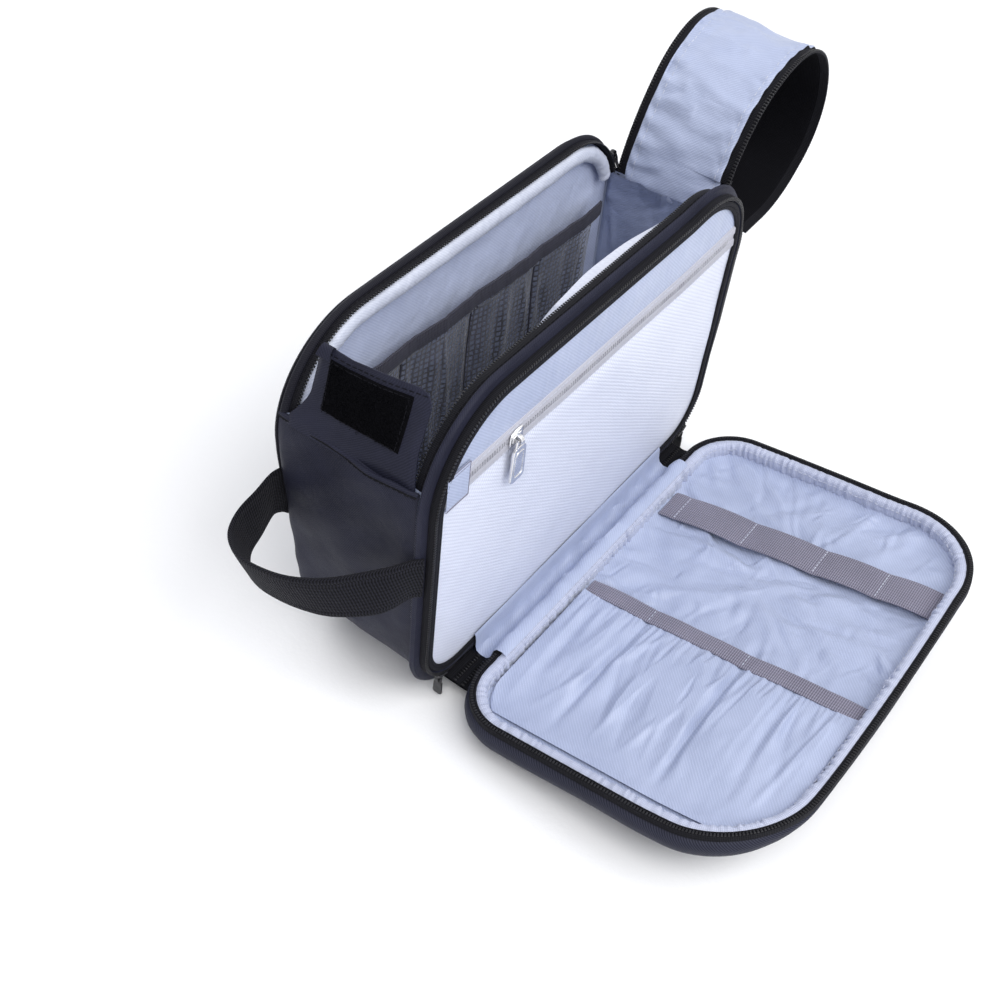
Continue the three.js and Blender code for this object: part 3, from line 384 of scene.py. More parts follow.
def settle(V):
    """How the soft case sits: its rear edge rounds off, its foot draws in, its bottom corners lift
    and the far corner of its front rim stands out."""
    V = np.array(V, float)
    x, y, z = V.T.copy()
    back = np.clip((y - 31) / 14, 0, 1.1)
    V[:, 0] = x * (1 - 0.036 * back ** 1.6 * (0.35 + 0.65 * ease(z, 134, -60)))
    V[:, 2] = np.where(z > 98, 98 + (z - 98) * (1 - 0.062 * back ** 1.6), z)
    V[:, 1] = y - 4.6 * back
    foot = ease(z, 124, -60) ** 1.3 * ease(y, -4, 48)
    V[:, 1] -= 3.2 * foot
    V[:, 0] -= np.sign(x) * 3.0 * foot * ease(np.abs(x), 40, 87) ** 2
    front = 0.45 * ease(y, -8, -18) + 0.55 * ease(y, -30, -12)
    far = ease(x, 66, 52) * ease(z, 128, 54) * front
    V[:, 0] += 4.6 * far + 2.8 * front ** 2 * ease(x, 120.6, 4) * ease(z, 66, 22) * ease(z, 186, -30)
    V[:, 2] += 4.8 * far
    c = smooth(ease(np.abs(x), 48, 79) * ease(z, 72, -72) * ease(y, -42.5, 9))
    V[:, 0] -= np.sign(x) * 5.6 * c
    V[:, 2] += 7.2 * c
    return V


def relax(V):
    """How the soft flap lies: its free edge is bowed, its near corner rounder and its far corner
    fuller than its pattern."""
    V = np.array(V, float)
    x, _, z = V.T.copy()
    near = smooth(ease(x, -52, -70) * ease(z, 112, 68))
    V[:, 0] += 3.6 * near
    V[:, 2] -= 5.4 * near
    V[:, 2] += 1.8 * ease(z, 90, 90) * np.clip(1 - ((x - 30) / 88) ** 2, 0, 1)
    V[:, 0] += 0.8 * ease(x, 60, 62) * np.clip(1 - ((z - 60) / 60) ** 2, 0, 1)
    far = ease(x, 70, 50) * ease(z, 128, 50)
    V[:, 0] += 2.0 * far
    V[:, 2] += 1.6 * far
    return V


# mesh pieces

# One small chamfered block: along, across, up and the share of its plan at that height.
BLOCK = [(x, y, z, w) for z, w in ((0, 1), (0.65, 1), (1, 0.6))
         for x, y in ((-1, -1), (1, -1), (1, 1), (-1, 1))]
BLOCK_FACES = [(0, 3, 2, 1), (8, 9, 10, 11)] + [(k + i, k + (i + 1) % 4, k + 4 + (i + 1) % 4, k + 4 + i)
                                                for k in (0, 4) for i in range(4)]
RING = dict(wrap_u=True, wrap_v=True)
TEETH = ("teeth", 1.55, (0.85, 1.7, 0.55))


class Piece:
    """A mesh made of grids and small solids, with one UV unit to ten millimetres."""

    def __init__(self, name):
        self.name, self.V, self.F, self.U, self.I, self.mats, self.n = name, [], [], [], [], [], 0

    def slot(self, mat):
        if mat not in self.mats:
            self.mats.append(mat)
        return self.mats.index(mat)

    def face(self, corners, uvs, slot):
        self.F.append(tuple(corners))
        self.U.append(tuple(uvs))
        self.I.append(slot)

    def grid(self, rows, mat, wrap_u=False, wrap_v=False, uv=None, cols=None):
        """rows: (R, N, 3). cols may give each row-strip's material."""
        rows = np.asarray(rows, float)
        R, N = rows.shape[:2]
        ext = rows
        if wrap_v:
            ext = np.concatenate([ext, ext[:1]], 0)
        if wrap_u:
            ext = np.concatenate([ext, ext[:, :1]], 1)
        if uv is None:
            du = np.linalg.norm(np.diff(ext, axis=1), axis=2)
            dv = np.linalg.norm(np.diff(ext, axis=0), axis=2).mean(1)
            uu, vv = np.meshgrid(np.concatenate([[0], np.cumsum(du[len(du) // 2])]) / 10,
                                 np.concatenate([[0], np.cumsum(dv)]) / 10)
        else:
            uu, vv = uv(ext)
        base = self.n
        self.V.append(rows.reshape(-1, 3))
        self.n += R * N
        for r in range(ext.shape[0] - 1):
            k = self.slot(cols[r] if cols else mat)
            for i in range(ext.shape[1] - 1):
                quad = ((r, i), (r, i + 1), (r + 1, i + 1), (r + 1, i))
                self.face([base + a % R * N + b % N for a, b in quad], [(uu[q], vv[q]) for q in quad], k)
        return self

    def panel(self, rows, mat):
        """A grid of closed outlines, mapped flat."""
        return self.grid(rows, mat, wrap_u=True, uv=planar())

    def faces(self, V, F, mat):
        base = self.n
        V = np.asarray(V, float)
        self.V.append(V)
        self.n += len(V)
        k = self.slot(mat)
        for f in F:
            self.face([base + i for i in f], [(V[i][0] / 10, (V[i][1] + V[i][2]) / 10) for i in f], k)
        return self

    def beads(self, path, up, mat, pitch, size, closed=False):
        """Blocks along a path: zip teeth and stitches. size is along, across, up."""
        path = np.asarray(path, float)
        up = np.broadcast_to(np.asarray(up, float), path.shape)
        if closed:
            path, up = np.vstack([path, path[:1]]), np.vstack([up, up[:1]])
        s = lengths(path)
        n = max(1, int(s[-1] / pitch))
        q = (np.arange(n) + 0.5) * s[-1] / n

        def at(where, A):
            return np.stack([np.interp(where, s, A[:, k]) for k in range(3)], 1)
        centre = at(q, path)
        T = unit(at(np.minimum(q + 0.4, s[-1]), path) - at(np.maximum(q - 0.4, 0), path))
        U = at(q, up)
        U = unit(U - T * (U * T).sum(1)[:, None])
        A = np.cross(T, U)
        a, b, c = size
        V = [centre[j] + T[j] * x * w * a / 2 + A[j] * (y * w * b / 2) + U[j] * z * c
             for j in range(n) for x, y, z, w in BLOCK]
        return self.faces(V, [[12 * j + i for i in f] for j in range(n) for f in BLOCK_FACES], mat)

    def prism(self, poly, z0, z1, origin, X, Y, Z, mat, bevel):
        """A rounded plate: poly in local X, Y, between z0 and z1 along Z."""
        poly = np.asarray(poly, float)
        d = poly.mean(0) - poly
        d /= np.maximum(np.linalg.norm(d, axis=1), 1e-9)[:, None]
        rings = [(poly + d * bevel, z0), (poly, z0 + bevel), (poly, z1 - bevel), (poly + d * bevel, z1)]
        n = len(poly)
        V = [np.asarray(origin) + p[0] * np.asarray(X) + p[1] * np.asarray(Y) + z * np.asarray(Z)
             for ring, z in rings for p in ring]
        F = [tuple(range(n))[::-1], tuple(range(3 * n, 4 * n))]
        F += [(k * n + i, k * n + (i + 1) % n, (k + 1) * n + (i + 1) % n, (k + 1) * n + i)
              for k in range(3) for i in range(n)]
        return self.faces(V, F, mat)

    def tube(self, path, radius, mat, sides=8, closed=False):
        path = np.asarray(path, float)
        n = len(path)
        T = unit(np.roll(path, -1, 0) - np.roll(path, 1, 0) if closed else np.gradient(path, axis=0))
        radius = np.broadcast_to(radius, n)
        ang = loop(sides)[:, None]
        rows = []
        for p, t, r in zip(path, T, radius):
            a = np.array(REAR) - t * t[1]
            if np.linalg.norm(a) < 0.2:
                a = np.array([1.0, 0, 0]) - t * t[0]
            a /= np.linalg.norm(a)
            rows.append(p + r * (np.cos(ang) * a + np.sin(ang) * np.cross(t, a)))
        self.grid(np.array(rows), mat, wrap_u=True, wrap_v=closed)
        if not closed:
            for first in (self.n - n * sides, self.n - sides):
                self.face(range(first, first + sides), [(0.0, 0.0)] * sides, self.slot(mat))
        return self

    def turn(self, matrix):
        self.V = [np.vstack(self.V) @ matrix[:3, :3].T + matrix[:3, 3]]
        return self

    def make(self, body, stands, slot, fold=None, sharp=0.9):
        """Makes the object. stands is the nodes it replaces; fold is two bodies and the span between, but
        only its presence is used: the mesh is then baked in place instead of attached to body.
        """
        P = np.vstack(self.V)
        if body == "case" and self.name != "handle_webbing":
            P = settle(P)
        me = bpy.data.meshes.new(self.name)
        me.from_pydata((P / 1000).tolist(), [], self.F)
        layer = me.uv_layers.new(name="UVMap")
        layer.data.foreach_set("uv", [c for f in self.U for p in f for c in p])
        for m in self.mats:
            me.materials.append(MAT[m])
        me.polygons.foreach_set("material_index", self.I)
        bm = bmesh.new()
        bm.from_mesh(me)
        bmesh.ops.recalc_face_normals(bm, faces=bm.faces)
        bm.to_mesh(me)
        bm.free()
        me.polygons.foreach_set("use_smooth", [True] * len(me.polygons))
        me.set_sharp_from_angle(angle=sharp)
        ob = link(self.name, me)
        if fold:
            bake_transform(ob)
        else:
            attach(ob, body)
        if stands:
            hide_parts(*stands)
        return ob


def planar(ax=0, bx=2):
    """UVs straight from two coordinates."""
    return lambda e: (e[..., ax] / 10, e[..., bx] / 10)


def run_uv(e, axis):
    """UVs from the length run along one axis of a grid."""
    pad = [(0, 0), (0, 0)]
    pad[axis] = (1, 0)
    return np.cumsum(np.pad(np.linalg.norm(np.diff(e, axis=axis), axis=2), pad), axis) / 10


def section(profile, i0=None, i1=None, n=None):
    """Rows along the outline: profile is a list of (y, frame or (frame, frame, share), grow)."""
    rows = []
    for y, f, g in profile:
        if isinstance(f, tuple):
            P = outline(f[0], g)[0] * (1 - f[2]) + outline(f[1], g)[0] * f[2]
        else:
            P = outline(f, g)[0]
        rows.append(at_y(P if i0 is None else take(P, i0, i1, n), y))
    return np.array(rows)


def tube_profile(n, y, f, grow, ry, rg):
    """A round profile for section()."""
    return [(y + ry * cos(a), f, grow + rg * sin(a)) for a in loop(n)]


STEPS = np.concatenate([[1, 0.992, 0.98, 0.96], np.linspace(0.93, 0.03, 30), [0.0005]])
FLAT_STEPS = [1, 0.5, 0.0005]


def panel_rows(P, y, steps=FLAT_STEPS, depth=None, centre=MID):
    """Rows of an outline that shrinks on to a centre: a panel, with depth(points, share) added to y."""
    rows = []
    for t in steps:
        Q = centre + (P - centre) * t
        rows.append(at_y(Q, y + depth(Q, t) if depth else y))
    return np.array(rows)


# front gusset, rim and its zip
g = Piece("front_gusset_cloth")
g.grid(section([
    (-45.3, ZIP, -0.4), (-45.3, ZIP, 0.6), (-44.6, ZIP, 1.3), (-42.2, ZIP, 1.4), (-41.6, ZIP, 0.9),
    (-41.2, (ZIP, BODY, 0.3), 0.6), (-40.7, (ZIP, BODY, 0.75), 0.4), (-40.0, BODY, -0.6), (-39.3, BODY, 0.3),
    (-38.5, BODY, 0.3), (-37.8, BODY, -0.9), (-37.9, BODY, -2.3), (-38.3, BODY, -2.5),
    (-39.4, (ZIP, BODY, 0.5), -2.0), (-40.2, ZIP, -0.9), (-44.0, ZIP, -1.0)]),
    "shell", cols=["tape"] * 4 + ["shell"] * 12, **RING)
g.beads(at_y(outline(ZIP, 0.4)[0], -45.2), FRONT, *TEETH, closed=True)
g.make("case", ["front_gusset"], "shell")

t = Piece("front_rim_tape")
t.grid(section([(-44.4, ZIP, -1.0), (-45.1, ZIP, -1.2), (-45.3, ZIP, -2.0), (-45.2, ZIP, -4.2),
                (-44.7, ZIP, -4.8), (-44.3, ZIP, -4.7), (-44.3, ZIP, -1.2)]), "tape", **RING)
t.beads(at_y(outline(ZIP, -3.2)[0], -45.2), FRONT, "thread_dark", 2.6, (1.9, 0.3, 0.12), closed=True)
t.make("case", ["front_rim_zip_tape"], "zip")

# front wall
INNER_ZIP_Z, REAR_ZIP_Z = 145, 138


def wall_strip(name, node, slot, z0, z1, mat, seed, crown):
    """A sewn panel of the front wall between two heights, crowned and slightly wavy."""
    rows = []
    for z in np.linspace(z0, z1, 30):
        w = half_width(ZIP, z, 1.8)
        x = np.linspace(-w, w, 160)
        edge = min(1, min(z - z0, z1 - z) / 6 + 0.001)
        y = -44.0 - crown * (1 - (x / w) ** 4) * edge + 0.22 * ripple(xyz(x, 0, z), 30, seed) * edge
        rows.append(xyz(x, y, z))
    rows = np.array(rows)
    back = rows.copy()
    back[..., 1] = -42.3
    p = Piece(name).grid(rows, mat, uv=planar()).grid(back[::6, ::8], mat, uv=planar())
    p.make("case", [node], slot)


wall_strip("front_wall_embossed", "front_wall_lower_panel", "padding", 18.2, 138.9, "emboss", 3, 1.0)
wall_strip("front_wall_strip", "front_wall_upper_strip", "lining", 151.1, 178.0, "lining", 4, 0.6)


def zip_rows(xs, level, sag, f, inset, profile):
    """Rows of a zip tape across a wall; profile is a list of (height, y)."""
    rows = []
    for dz, y in profile:
        lim = half_width(f, level + dz, inset)
        rows.append(xyz(np.clip(xs, -lim, lim), y, level + dz + sag * np.sin(xs / 17)))
    return np.array(rows)


z = Piece("inner_zip_tape")
xs = np.linspace(-119.8, 119.8, 200)
z.grid(zip_rows(xs, INNER_ZIP_Z, 0.25, ZIP, 1.8, (
    (-6.6, -43.4), (-6.2, -44.5), (-5.6, -44.9), (-1.7, -44.75), (-1.5, -44.2), (1.5, -44.2), (1.7, -44.75),
    (5.6, -44.9), (6.2, -44.5), (6.6, -43.4))), "pale_tape")
line = xyz(xs[13:-8], -44.2, INNER_ZIP_Z + 0.25 * np.sin(xs[13:-8] / 17))
z.beads(line, FRONT, "pale_teeth", 1.7, (1.0, 2.9, 0.7))
for dz in (-5.0, 5.0):
    z.beads(line + [0, -0.68, dz], FRONT, "thread_pale", 2.8, (2.0, 0.3, 0.15))
z.make("case", ["inner_pocket_zip"], "elastic")

e = Piece("inner_zip_tab")
xs = np.linspace(-116.6, -101, 14)
e.grid(np.array([xyz(xs, -44.55 - 0.75 * min(1, (10 - abs(dz)) / 1.5) * np.minimum(1, (-100.6 - xs) / 1.6),
                     INNER_ZIP_Z + dz) for dz in np.linspace(-10, 10, 12)]), "lining", uv=planar())
for inset, radius in ((0.3, 0.2), (1.6, 0.12)):
    end = -101 - inset
    hem = np.concatenate([xyz(np.linspace(-116, end, 8), 0, 10 - inset),
                          xyz(end, 0, np.linspace(9.5 - inset, -9.5 + inset, 8)),
                          xyz(np.linspace(end, -116, 8), 0, -10 + inset)])
    e.tube(hem + [0, -45.0 - 0.2 * (inset > 1), INNER_ZIP_Z], radius, "elastic", 5)
e.make("case", ["inner_zip_end_patch"], "lining")


def back_swell(Q, t):
    """The pocket's back sheet is nearly flat and stands out under the front wall's top."""
    arch_up = np.exp(-((Q[:, 0] - 18) / 74) ** 2 - ((Q[:, 1] - 171) / 17) ** 2)
    return 0.9 * (1 - t) ** 0.5 + 0.25 * ripple(at_y(Q, 0), 34, 9) + 14.2 * min(1, (1 - t) * 14) * arch_up


P = outline(BODY, -4.9)[0]
b = Piece("front_wall_back")
b.panel(panel_rows(P, -36.6, STEPS, back_swell), "emboss")
b.grid(section([(-36.6, BODY, -4.9), (-37.8, BODY, -4.9)]), "emboss", wrap_u=True)
b.panel(panel_rows(P, -37.8), "lining")
b.make("case", ["front_wall_back_panel"], "padding")


# ends, base and compartment lining
def side_rows(ys, grow_of, n=330):
    """Rows from one end of the arch down, along the base and up to the other, kept off the ground."""
    P, N = outline(BODY)
    P, N = take(P, I_SL, I_SR, n), take(N, I_SL, I_SR, n)
    rows = []
    for y in ys:
        Q = P + N * grow_of(at_y(P, y), y)[:, None]
        Q[:, 1] = np.maximum(Q[:, 1], 0.05)
        rows.append(at_y(Q, y))
    return np.array(rows)


def side_bulge(P3, y):
    edge = min(1, (y + 37.6) / 5, (41.2 - y) / 5)
    soft = 0.9 * ripple(P3, 46, 21, (0.6, 1, 0.5)) + 0.35 * ripple(P3, 17, 22, (0.4, 1, 0.8))
    if abs(y) > 27:
        soft = np.where(P3[:, 0] > 90, -0.7, soft)
    return -0.9 * (1 - edge) + edge * (0.5 + ease(P3[:, 2], 8, 40) * soft)


s = Piece("end_and_base_cloth")
ys = np.concatenate([[-37.6, -37.2, -36.4, -35], np.linspace(-33, 36.5, 34), [38.5, 40, 40.8, 41.2]])
outer = side_rows(ys, side_bulge)
s.grid(outer, "shell", uv=lambda e: (run_uv(e, 1), e[..., 1] / 10))
s.grid(side_rows(ys[::4], lambda P3, y: np.full(len(P3), -2.0)), "lining")
sy = np.linspace(-37.0, 40.6, 60)
sag = 1.3 * np.sin((sy + 37) / 77.6 * pi)
seam = xyz(np.interp(sy, ys, outer[:, 0, 0]) - 0.5, sy,
           np.interp(sy, ys, outer[:, 0, 2]) - 0.5 - sag + 0.5 * np.sin(sy / 6))
s.tube(seam, 1.15 + 0.12 * np.sin(sy / 2.3), "shell", 8)
s.tube(seam + [-0.85, 0, -0.75], 0.5, "tape", 6)
s.beads(seam + [-0.75, 0, -1.6], (-1, 0, 0.2), "thread_dark", 3.0, (2.1, 0.35, 0.25))
s.make("case", ["handle_end_panel", "lid_end_panel", "bottom_panel"], "shell")


def lining_pull(P3, y):
    edge = min(1, (y + 37.2) / 4, (36.2 - y) / 4)
    along = lengths(P3)
    fold = creases(along, y, 33, 150, (0, along[-1], -40, 40), (14, 45), (1.4, 3.6), (0.5, 1.7))
    return -2.6 + edge * np.minimum(0.2, -0.9 + 0.6 * ripple(P3, 30, 31, (1, 0.5, 0.6)) + fold)


full = side_rows(np.linspace(-37.2, 36.2, 60), lining_pull, 520)
X, Z = full[30, :, 0], full[30, :, 2]
# the compartment cloth is a lighter copy of the lining (painted light) up to this corner and a darker copy
# (painted shade) past it, towards the lid end
shade_from = int(np.argmax(np.hypot(X - HIGH_X, Z - LOW_Z) * (X > 80) * (Z < 60)))
li = Piece("compartment_cloth")
li.grid(full[:, :shade_from + 1], "lining_painted_light").grid(full[:, shade_from:], "lining_painted_shade")
li.make("case", ["compartment_lining"], "lining")


# top arches: lid zips, rear band, rear roll
def arch(profile, n=150, i0=I_SR, i1=I_SL):
    return section(profile, i0, i1, n)


ARCH_OUT = at_y(take(outline(BODY)[1], I_SR, I_SL, 150), 0)
for side, y0, y1, edge in (("front", -37.5, -33.2, -32.9), ("rear", 34.6, 30.9, 30.6)):
    a = Piece(side + "_lid_tape")
    a.grid(arch([(y0, BODY, -2.5), (y0 * 0.6 + y1 * 0.4, BODY, -2.7), (y1, BODY, -3.1), (edge, BODY, -3.5),
                 (y1, BODY, -4.3), (y0, BODY, -4.4)]), "tape", wrap_v=True)
    a.beads(arch([(edge, BODY, -3.7)])[0], ARCH_OUT, "teeth", 1.55, (0.85, 1.8, 0.6))
    a.beads(arch([(y0 * 0.7 + y1 * 0.3, BODY, -2.62)])[0], ARCH_OUT, "thread_dark", 3.0, (2.1, 0.3, 0.2))
    a.make("case", [side + "_lid_zip_tape"], "zip")

r = Piece("rear_band_cloth")
r.grid(arch([(34.9, BODY, -3.2), (35.1, BODY, -2.2), (35.8, BODY, -1.2), (37, BODY, -0.3), (38.6, BODY, 0.3),
             (40.2, BODY, 0.1), (41.2, BODY, -0.7), (41.1, BODY, -2.3), (38.5, BODY, -2.2), (37, BODY, -2.9),
             (35.4, BODY, -4.6)]), "band", wrap_v=True)
r.make("case", ["rear_top_band"], "shell")

ROLL_N = 220
R = arch(tube_profile(15, 32.2, BODY, -10.0, 3.8, 4.9), ROLL_N, I_SR + 1, I_SL - 1)
cent = R.mean(0)
count = np.arange(ROLL_N)
taper = 0.62 + 0.4 * np.sin(np.linspace(0.25, pi - 0.25, ROLL_N)) ** 0.6
pucker = taper * (1 + 0.05 * np.sin(count * 1.9) * np.sin(count * 0.37 + 1) + 0.04 * ripple(cent, 16, 5))
roll = Piece("rear_rim_padding").grid(cent + (R - cent) * pucker[None, :, None], "rim_cloth", wrap_v=True)
roll.make("case", ["rear_rim_roll"], "padding")


# rear wall inside, mesh pocket
def rear_crown(Q, t):
    P3 = at_y(Q, 0)
    soft = 0.5 * ripple(P3, 48, 41, (0.6, 1, 1)) + 0.16 * ripple(P3, 16, 42)
    soft = soft + creases(Q[:, 0], Q[:, 1], 43, 60, (-120, 120, 60, 180), (20, 60), (2, 5), (0.3, 0.9))
    return -0.2 - 1.0 * np.minimum(1, (1 - t) * 5) + np.clip(soft, -1.6, 1.4) * np.minimum(1, (1 - t) * 8)


P = outline(BODY, -3.3)[0]
w = Piece("rear_wall_lining")
# the inner face is the lighter copy of the lining: painted light
w.panel(panel_rows(P, 37.6, STEPS, rear_crown), "lining_painted_light")
w.grid(section([(37.4, BODY, -3.3), (40.2, BODY, -3.3)]), "lining", wrap_u=True)
w.panel(panel_rows(P, 40.2), "lining")
w.make("case", ["rear_wall_padding"], "lining")

NET_FOOT, NET_TOP, NET_HALF, NET_BAYS = 30, 131.5, 106, 4
xs = np.linspace(-NET_HALF, NET_HALF, 300)
r = np.random.default_rng(45)
NET_PLEATS = [(r.uniform(-104, 104), r.uniform(-1.8, 2.4), r.uniform(1.5, 5), r.normal() * 0.12,
               r.uniform(60, 130))
              for _ in range(34)]


def net_y(z):
    """Gathered mouth, tight foot: the net stands off the wall and waves along its length."""
    up = (z - NET_FOOT) / 101
    wob = np.sin(xs / 6.1 + 0.8 * np.sin(xs / 19)) * (0.6 + 1.2 * up) + 0.5 * np.sin(xs / 2.9 + z / 9)
    bay = np.abs(np.sin((xs + NET_HALF) / (2 * NET_HALF) * pi * NET_BAYS)) ** 0.5
    lift = 4.0 + 6.5 * up ** 0.8
    pleat = sum(a * np.exp(-((xs - c - (start - z) * d) / w) ** 2) for c, a, w, d, start in NET_PLEATS)
    hold = 0.9 + 0.1 * bay if z > 129 else 0.45 + 0.45 * bay + 0.1 * up
    loose = 0.25 + 0.75 * min(1, max(0, (129 - z) / 22))
    return 36.2 - np.clip(lift * hold + (wob * 0.7 * bay + pleat) * loose, 0.6, 13.4)


# the mouth stands higher at the handle end
NET_RISE = 9.0 * (1 - (xs + NET_HALF) / (2 * NET_HALF)) ** 1.5
NET_HIGH = NET_TOP - NET_FOOT
rows = np.array([xyz(xs, net_y(z), z + NET_RISE * (z - NET_FOOT) / NET_HIGH)
                 for z in np.linspace(NET_FOOT, NET_TOP, 44)])
n = Piece("mesh_pocket_net").grid(rows, "net", uv=planar())
for x in (-53, 0, 53):
    rise = np.interp(x, xs, NET_RISE)
    n.tube([[x, np.interp(x, xs, net_y(z)) - 0.25, z + rise * (z - NET_FOOT) / NET_HIGH]
            for z in np.linspace(31, 130, 60)], 0.55, "dark_edge", 6)
net = n.make("case", ["mesh_pocket"], "mesh")
hem = Piece("mesh_pocket_hem").grid([
    xyz(xs, net_y(NET_TOP) + off, 131.2 + dz + 0.4 * np.sin(xs / 23 + 1) + NET_RISE) for dz, off in (
        (0, -0.7), (2.5, -1.0), (5.5, -1.0), (8.2, -0.6), (8.2, 0.5), (5.5, 0.9), (2.5, 0.9), (0, 0.6))],
    "dark_edge", wrap_v=True).make("case", ["mesh_pocket_binding"], "elastic")
settle(rows.reshape(-1, 3)).reshape(rows.shape)

# rear face
pip = Piece("rear_piping_cord").grid(section(tube_profile(10, 43.2, BODY, -2.1, 1.9, 1.9)), "band", **RING)
pip.make("case", ["rear_piping"], "shell")
for part, low, high, seed in (("lower", 3.0, 130.2, 51), ("upper", 145.8, 181.0, 52)):
    P = outline(BODY, -4.2)[0]
    rows, back = [], []
    for t in STEPS:
        Q = MID + (P - MID) * t
        Q[:, 1] = np.clip(Q[:, 1], low, high)
        rim = np.minimum(1, np.minimum(np.abs(Q[:, 1] - low), np.abs(Q[:, 1] - high)) / 4 + 0.02)
        rim = np.minimum(rim, (1 - t) * 12)
        rows.append(at_y(Q, 44.0 + 1.5 * np.minimum(1, rim) + 0.4 * ripple(at_y(Q, 0), 60, seed) * rim))
        back.append(at_y(Q, 42.7))
    p = Piece("rear_" + part + "_cloth").panel(rows, "shell")
    p.panel(back[::8], "shell").make("case", ["rear_" + part + "_panel"], "shell")

z = Piece("rear_zip_tape")
z.grid(zip_rows(np.linspace(-121.5, 121.5, 200), REAR_ZIP_Z, 0, BODY, 4.3, (
    (-7.6, 43.0), (-7.2, 43.7), (-4, 43.8), (-1.8, 43.9), (-1.5, 43.3), (1.5, 43.3), (1.8, 43.9), (4, 43.8),
    (7.2, 43.7), (7.6, 43.0))), "tape")
line = xyz(np.linspace(-96, 116, 120), 43.3, REAR_ZIP_Z)
z.beads(line, REAR, "teeth", 1.7, (1.0, 2.9, 0.9))
for dz in (-5.6, 5.6):
    z.beads(line + [0, 0.5, dz], REAR, "thread_dark", 2.8, (2.0, 0.3, 0.2))
z.make("case", ["rear_pocket_zip"], "zip")
TAB_X = -107.8
tb = Piece("rear_zip_tab")
tb.prism([(-10, -6.4), (-9.4, -7), (9.4, -7), (10, -6.4), (10, 6.4), (9.4, 7), (-9.4, 7), (-10, 6.4)], 0, 1.0,
         (TAB_X, 44.05, REAR_ZIP_Z), (1, 0, 0), UP, REAR, "shell", 0.3)
square = np.array([(-8.6, -5.6), (8.6, -5.6), (8.6, 5.6), (-8.6, 5.6), (-8.6, -5.6)])
tb.beads(at_y(square + [TAB_X, REAR_ZIP_Z], 45.0), REAR, "thread_dark", 2.6, (1.9, 0.35, 0.2))
tb.make("case", ["rear_zip_end_tab"], "shell")

# hinge of the front flap
HINGE_Y, HINGE_Z, OPEN = -55.5, 11.8, radians(81.4)
CO, SI = cos(OPEN), sin(OPEN)
FLAP = np.array([[1, 0, 0, 0], [0, CO, -SI, HINGE_Y - CO * HINGE_Y + SI * HINGE_Z],
                 [0, SI, CO, HINGE_Z - SI * HINGE_Y - CO * HINGE_Z], [0, 0, 0, 1]])
# (y, z) across the hinge, from the wall's foot over the hinge line on to the flap's floor edge
TROUGH = [(-45.2, 23.6), (-45.9, 22.4), (-46.3, 19.5), (-46.6, 15.6), (-47.5, 12.9), (-50.0, 11.6),
          (-53.0, 12.0),
          (-55.0, 14.2), (-55.9, 17.6), (-56.6, 20.8), (-58.4, 23.0), (-61.4, 23.2), (-64.0, 21.8)]
SOLE = [(-40.4, 11.2), (-42.0, 10.9), (-44.5, 10.7), (-48.0, 10.55), (-51.5, 10.5), (-55.0, 10.6),
        (-58.0, 10.9), (-60.5, 11.3)]


def hinge_rows(path, x, lift, seed, wrinkle):
    rows = []
    for k, (y, z) in enumerate(path):
        P = xyz(x, y, z + lift)
        P[:, 2] += wrinkle * ripple(P, 12, seed, (1, 0.3, 1)) * min(1, min(k, len(path) - 1 - k) / 3)
        rows.append(P)
    return np.array(rows)


x = np.linspace(-84, 84, 150)
up = hinge_rows(TROUGH, x, 0.15, 61, 0.7)
up[3:10, :, 1] += creases(x[None, :], np.arange(7)[:, None] * 4.0, 62, 60, (-84, 84, 0, 28), (12, 34),
                          (1.2, 3),
                         (0.3, 0.8), lambda a, b: 0.9, 0.3)
h = Piece("hinge_cloth_fold").grid(up, "lining").grid(hinge_rows(SOLE, x, -1.3, 61, 0.1), "shell")
h.make("case", ["hinge_cloth"], "lining", fold=("case", "flap", (0, -49.0, 12.5), (0, -58.0, 12.5)))
for side, tag in ((-1, "left"), (1, "right")):
    x = np.linspace(84.3, 104.2, 24) * side
    face = hinge_rows(SOLE, x, 0.1, 63, 0.08)
    h = Piece("hinge_zip_" + tag).grid(face, "tape").grid(hinge_rows(SOLE, x, -1.3, 63, 0.05), "tape")
    for d in (-2.4, 2.4):
        h.beads(face[4] + [0, d, 0.25], UP, "teeth", 1.55, (0.85, 1.9, 0.7))
    h.make("case", ["hinge_zip_end_" + tag], "zip", fold=("case", "flap", (0, -49.5, 12.5), (0, -62.0, 12.5)))


# flap, drawn closed and turned open
def flap_make(p, *a):
    p.V = [relax(np.vstack(p.V))]
    return p.turn(FLAP).make("flap", *a)


FACE_Y = -67.3
# y of the gusset's rows, with how far it stands out at the sides that bulge and at those that lean in
GUSSET = [(-50.9, 0.8, 0.6), (-51.5, 2.0, 0.9), (-52.6, 2.9, 0.7), (-54.8, 3.6, -0.3), (-57.4, 3.4, -2.2),
          (-60.5, 2.0, -5.0), (-63.0, 0.2, -8.0), (-65.0, -1.8, -10.6), (-66.3, -3.8, -12.4),
          (-67.1, -6.0, -13.8), (FACE_Y, -8.6, -15.0)]
P, N = outline(ZIP)
share = np.clip(-N[:, 0] * 1.2 + np.where(N[:, 1] < 0, -N[:, 1] * 0.6, 0), 0, 1)
share = np.convolve(np.concatenate([share[-12:], share, share[:12]]), np.ones(25) / 25, "valid")
rows = list(section([(-47.3, ZIP, -0.5), (-47.2, ZIP, 0.3), (-47.3, ZIP, 0.9), (-50.4, ZIP, 1.1)]))
for y, full_grow, lean_grow in GUSSET:
    Q = P + N * (full_grow * share + lean_grow * (1 - share))[:, None]
    soft = ripple(at_y(Q, y), 55, 70, (1, 0.4, 1)) * 0.5 * min(1, (-y - 51) / 6)
    rows.append(at_y(Q + N * soft[:, None], y))
foot = rows[-1][:, [0, 2]]


def face_crown(Q, t):
    return -0.5 * np.minimum(1, (1 - t) * 4) + 0.35 * ripple(at_y(Q, 0), 60, 71) * np.minimum(1, (1 - t) * 6)
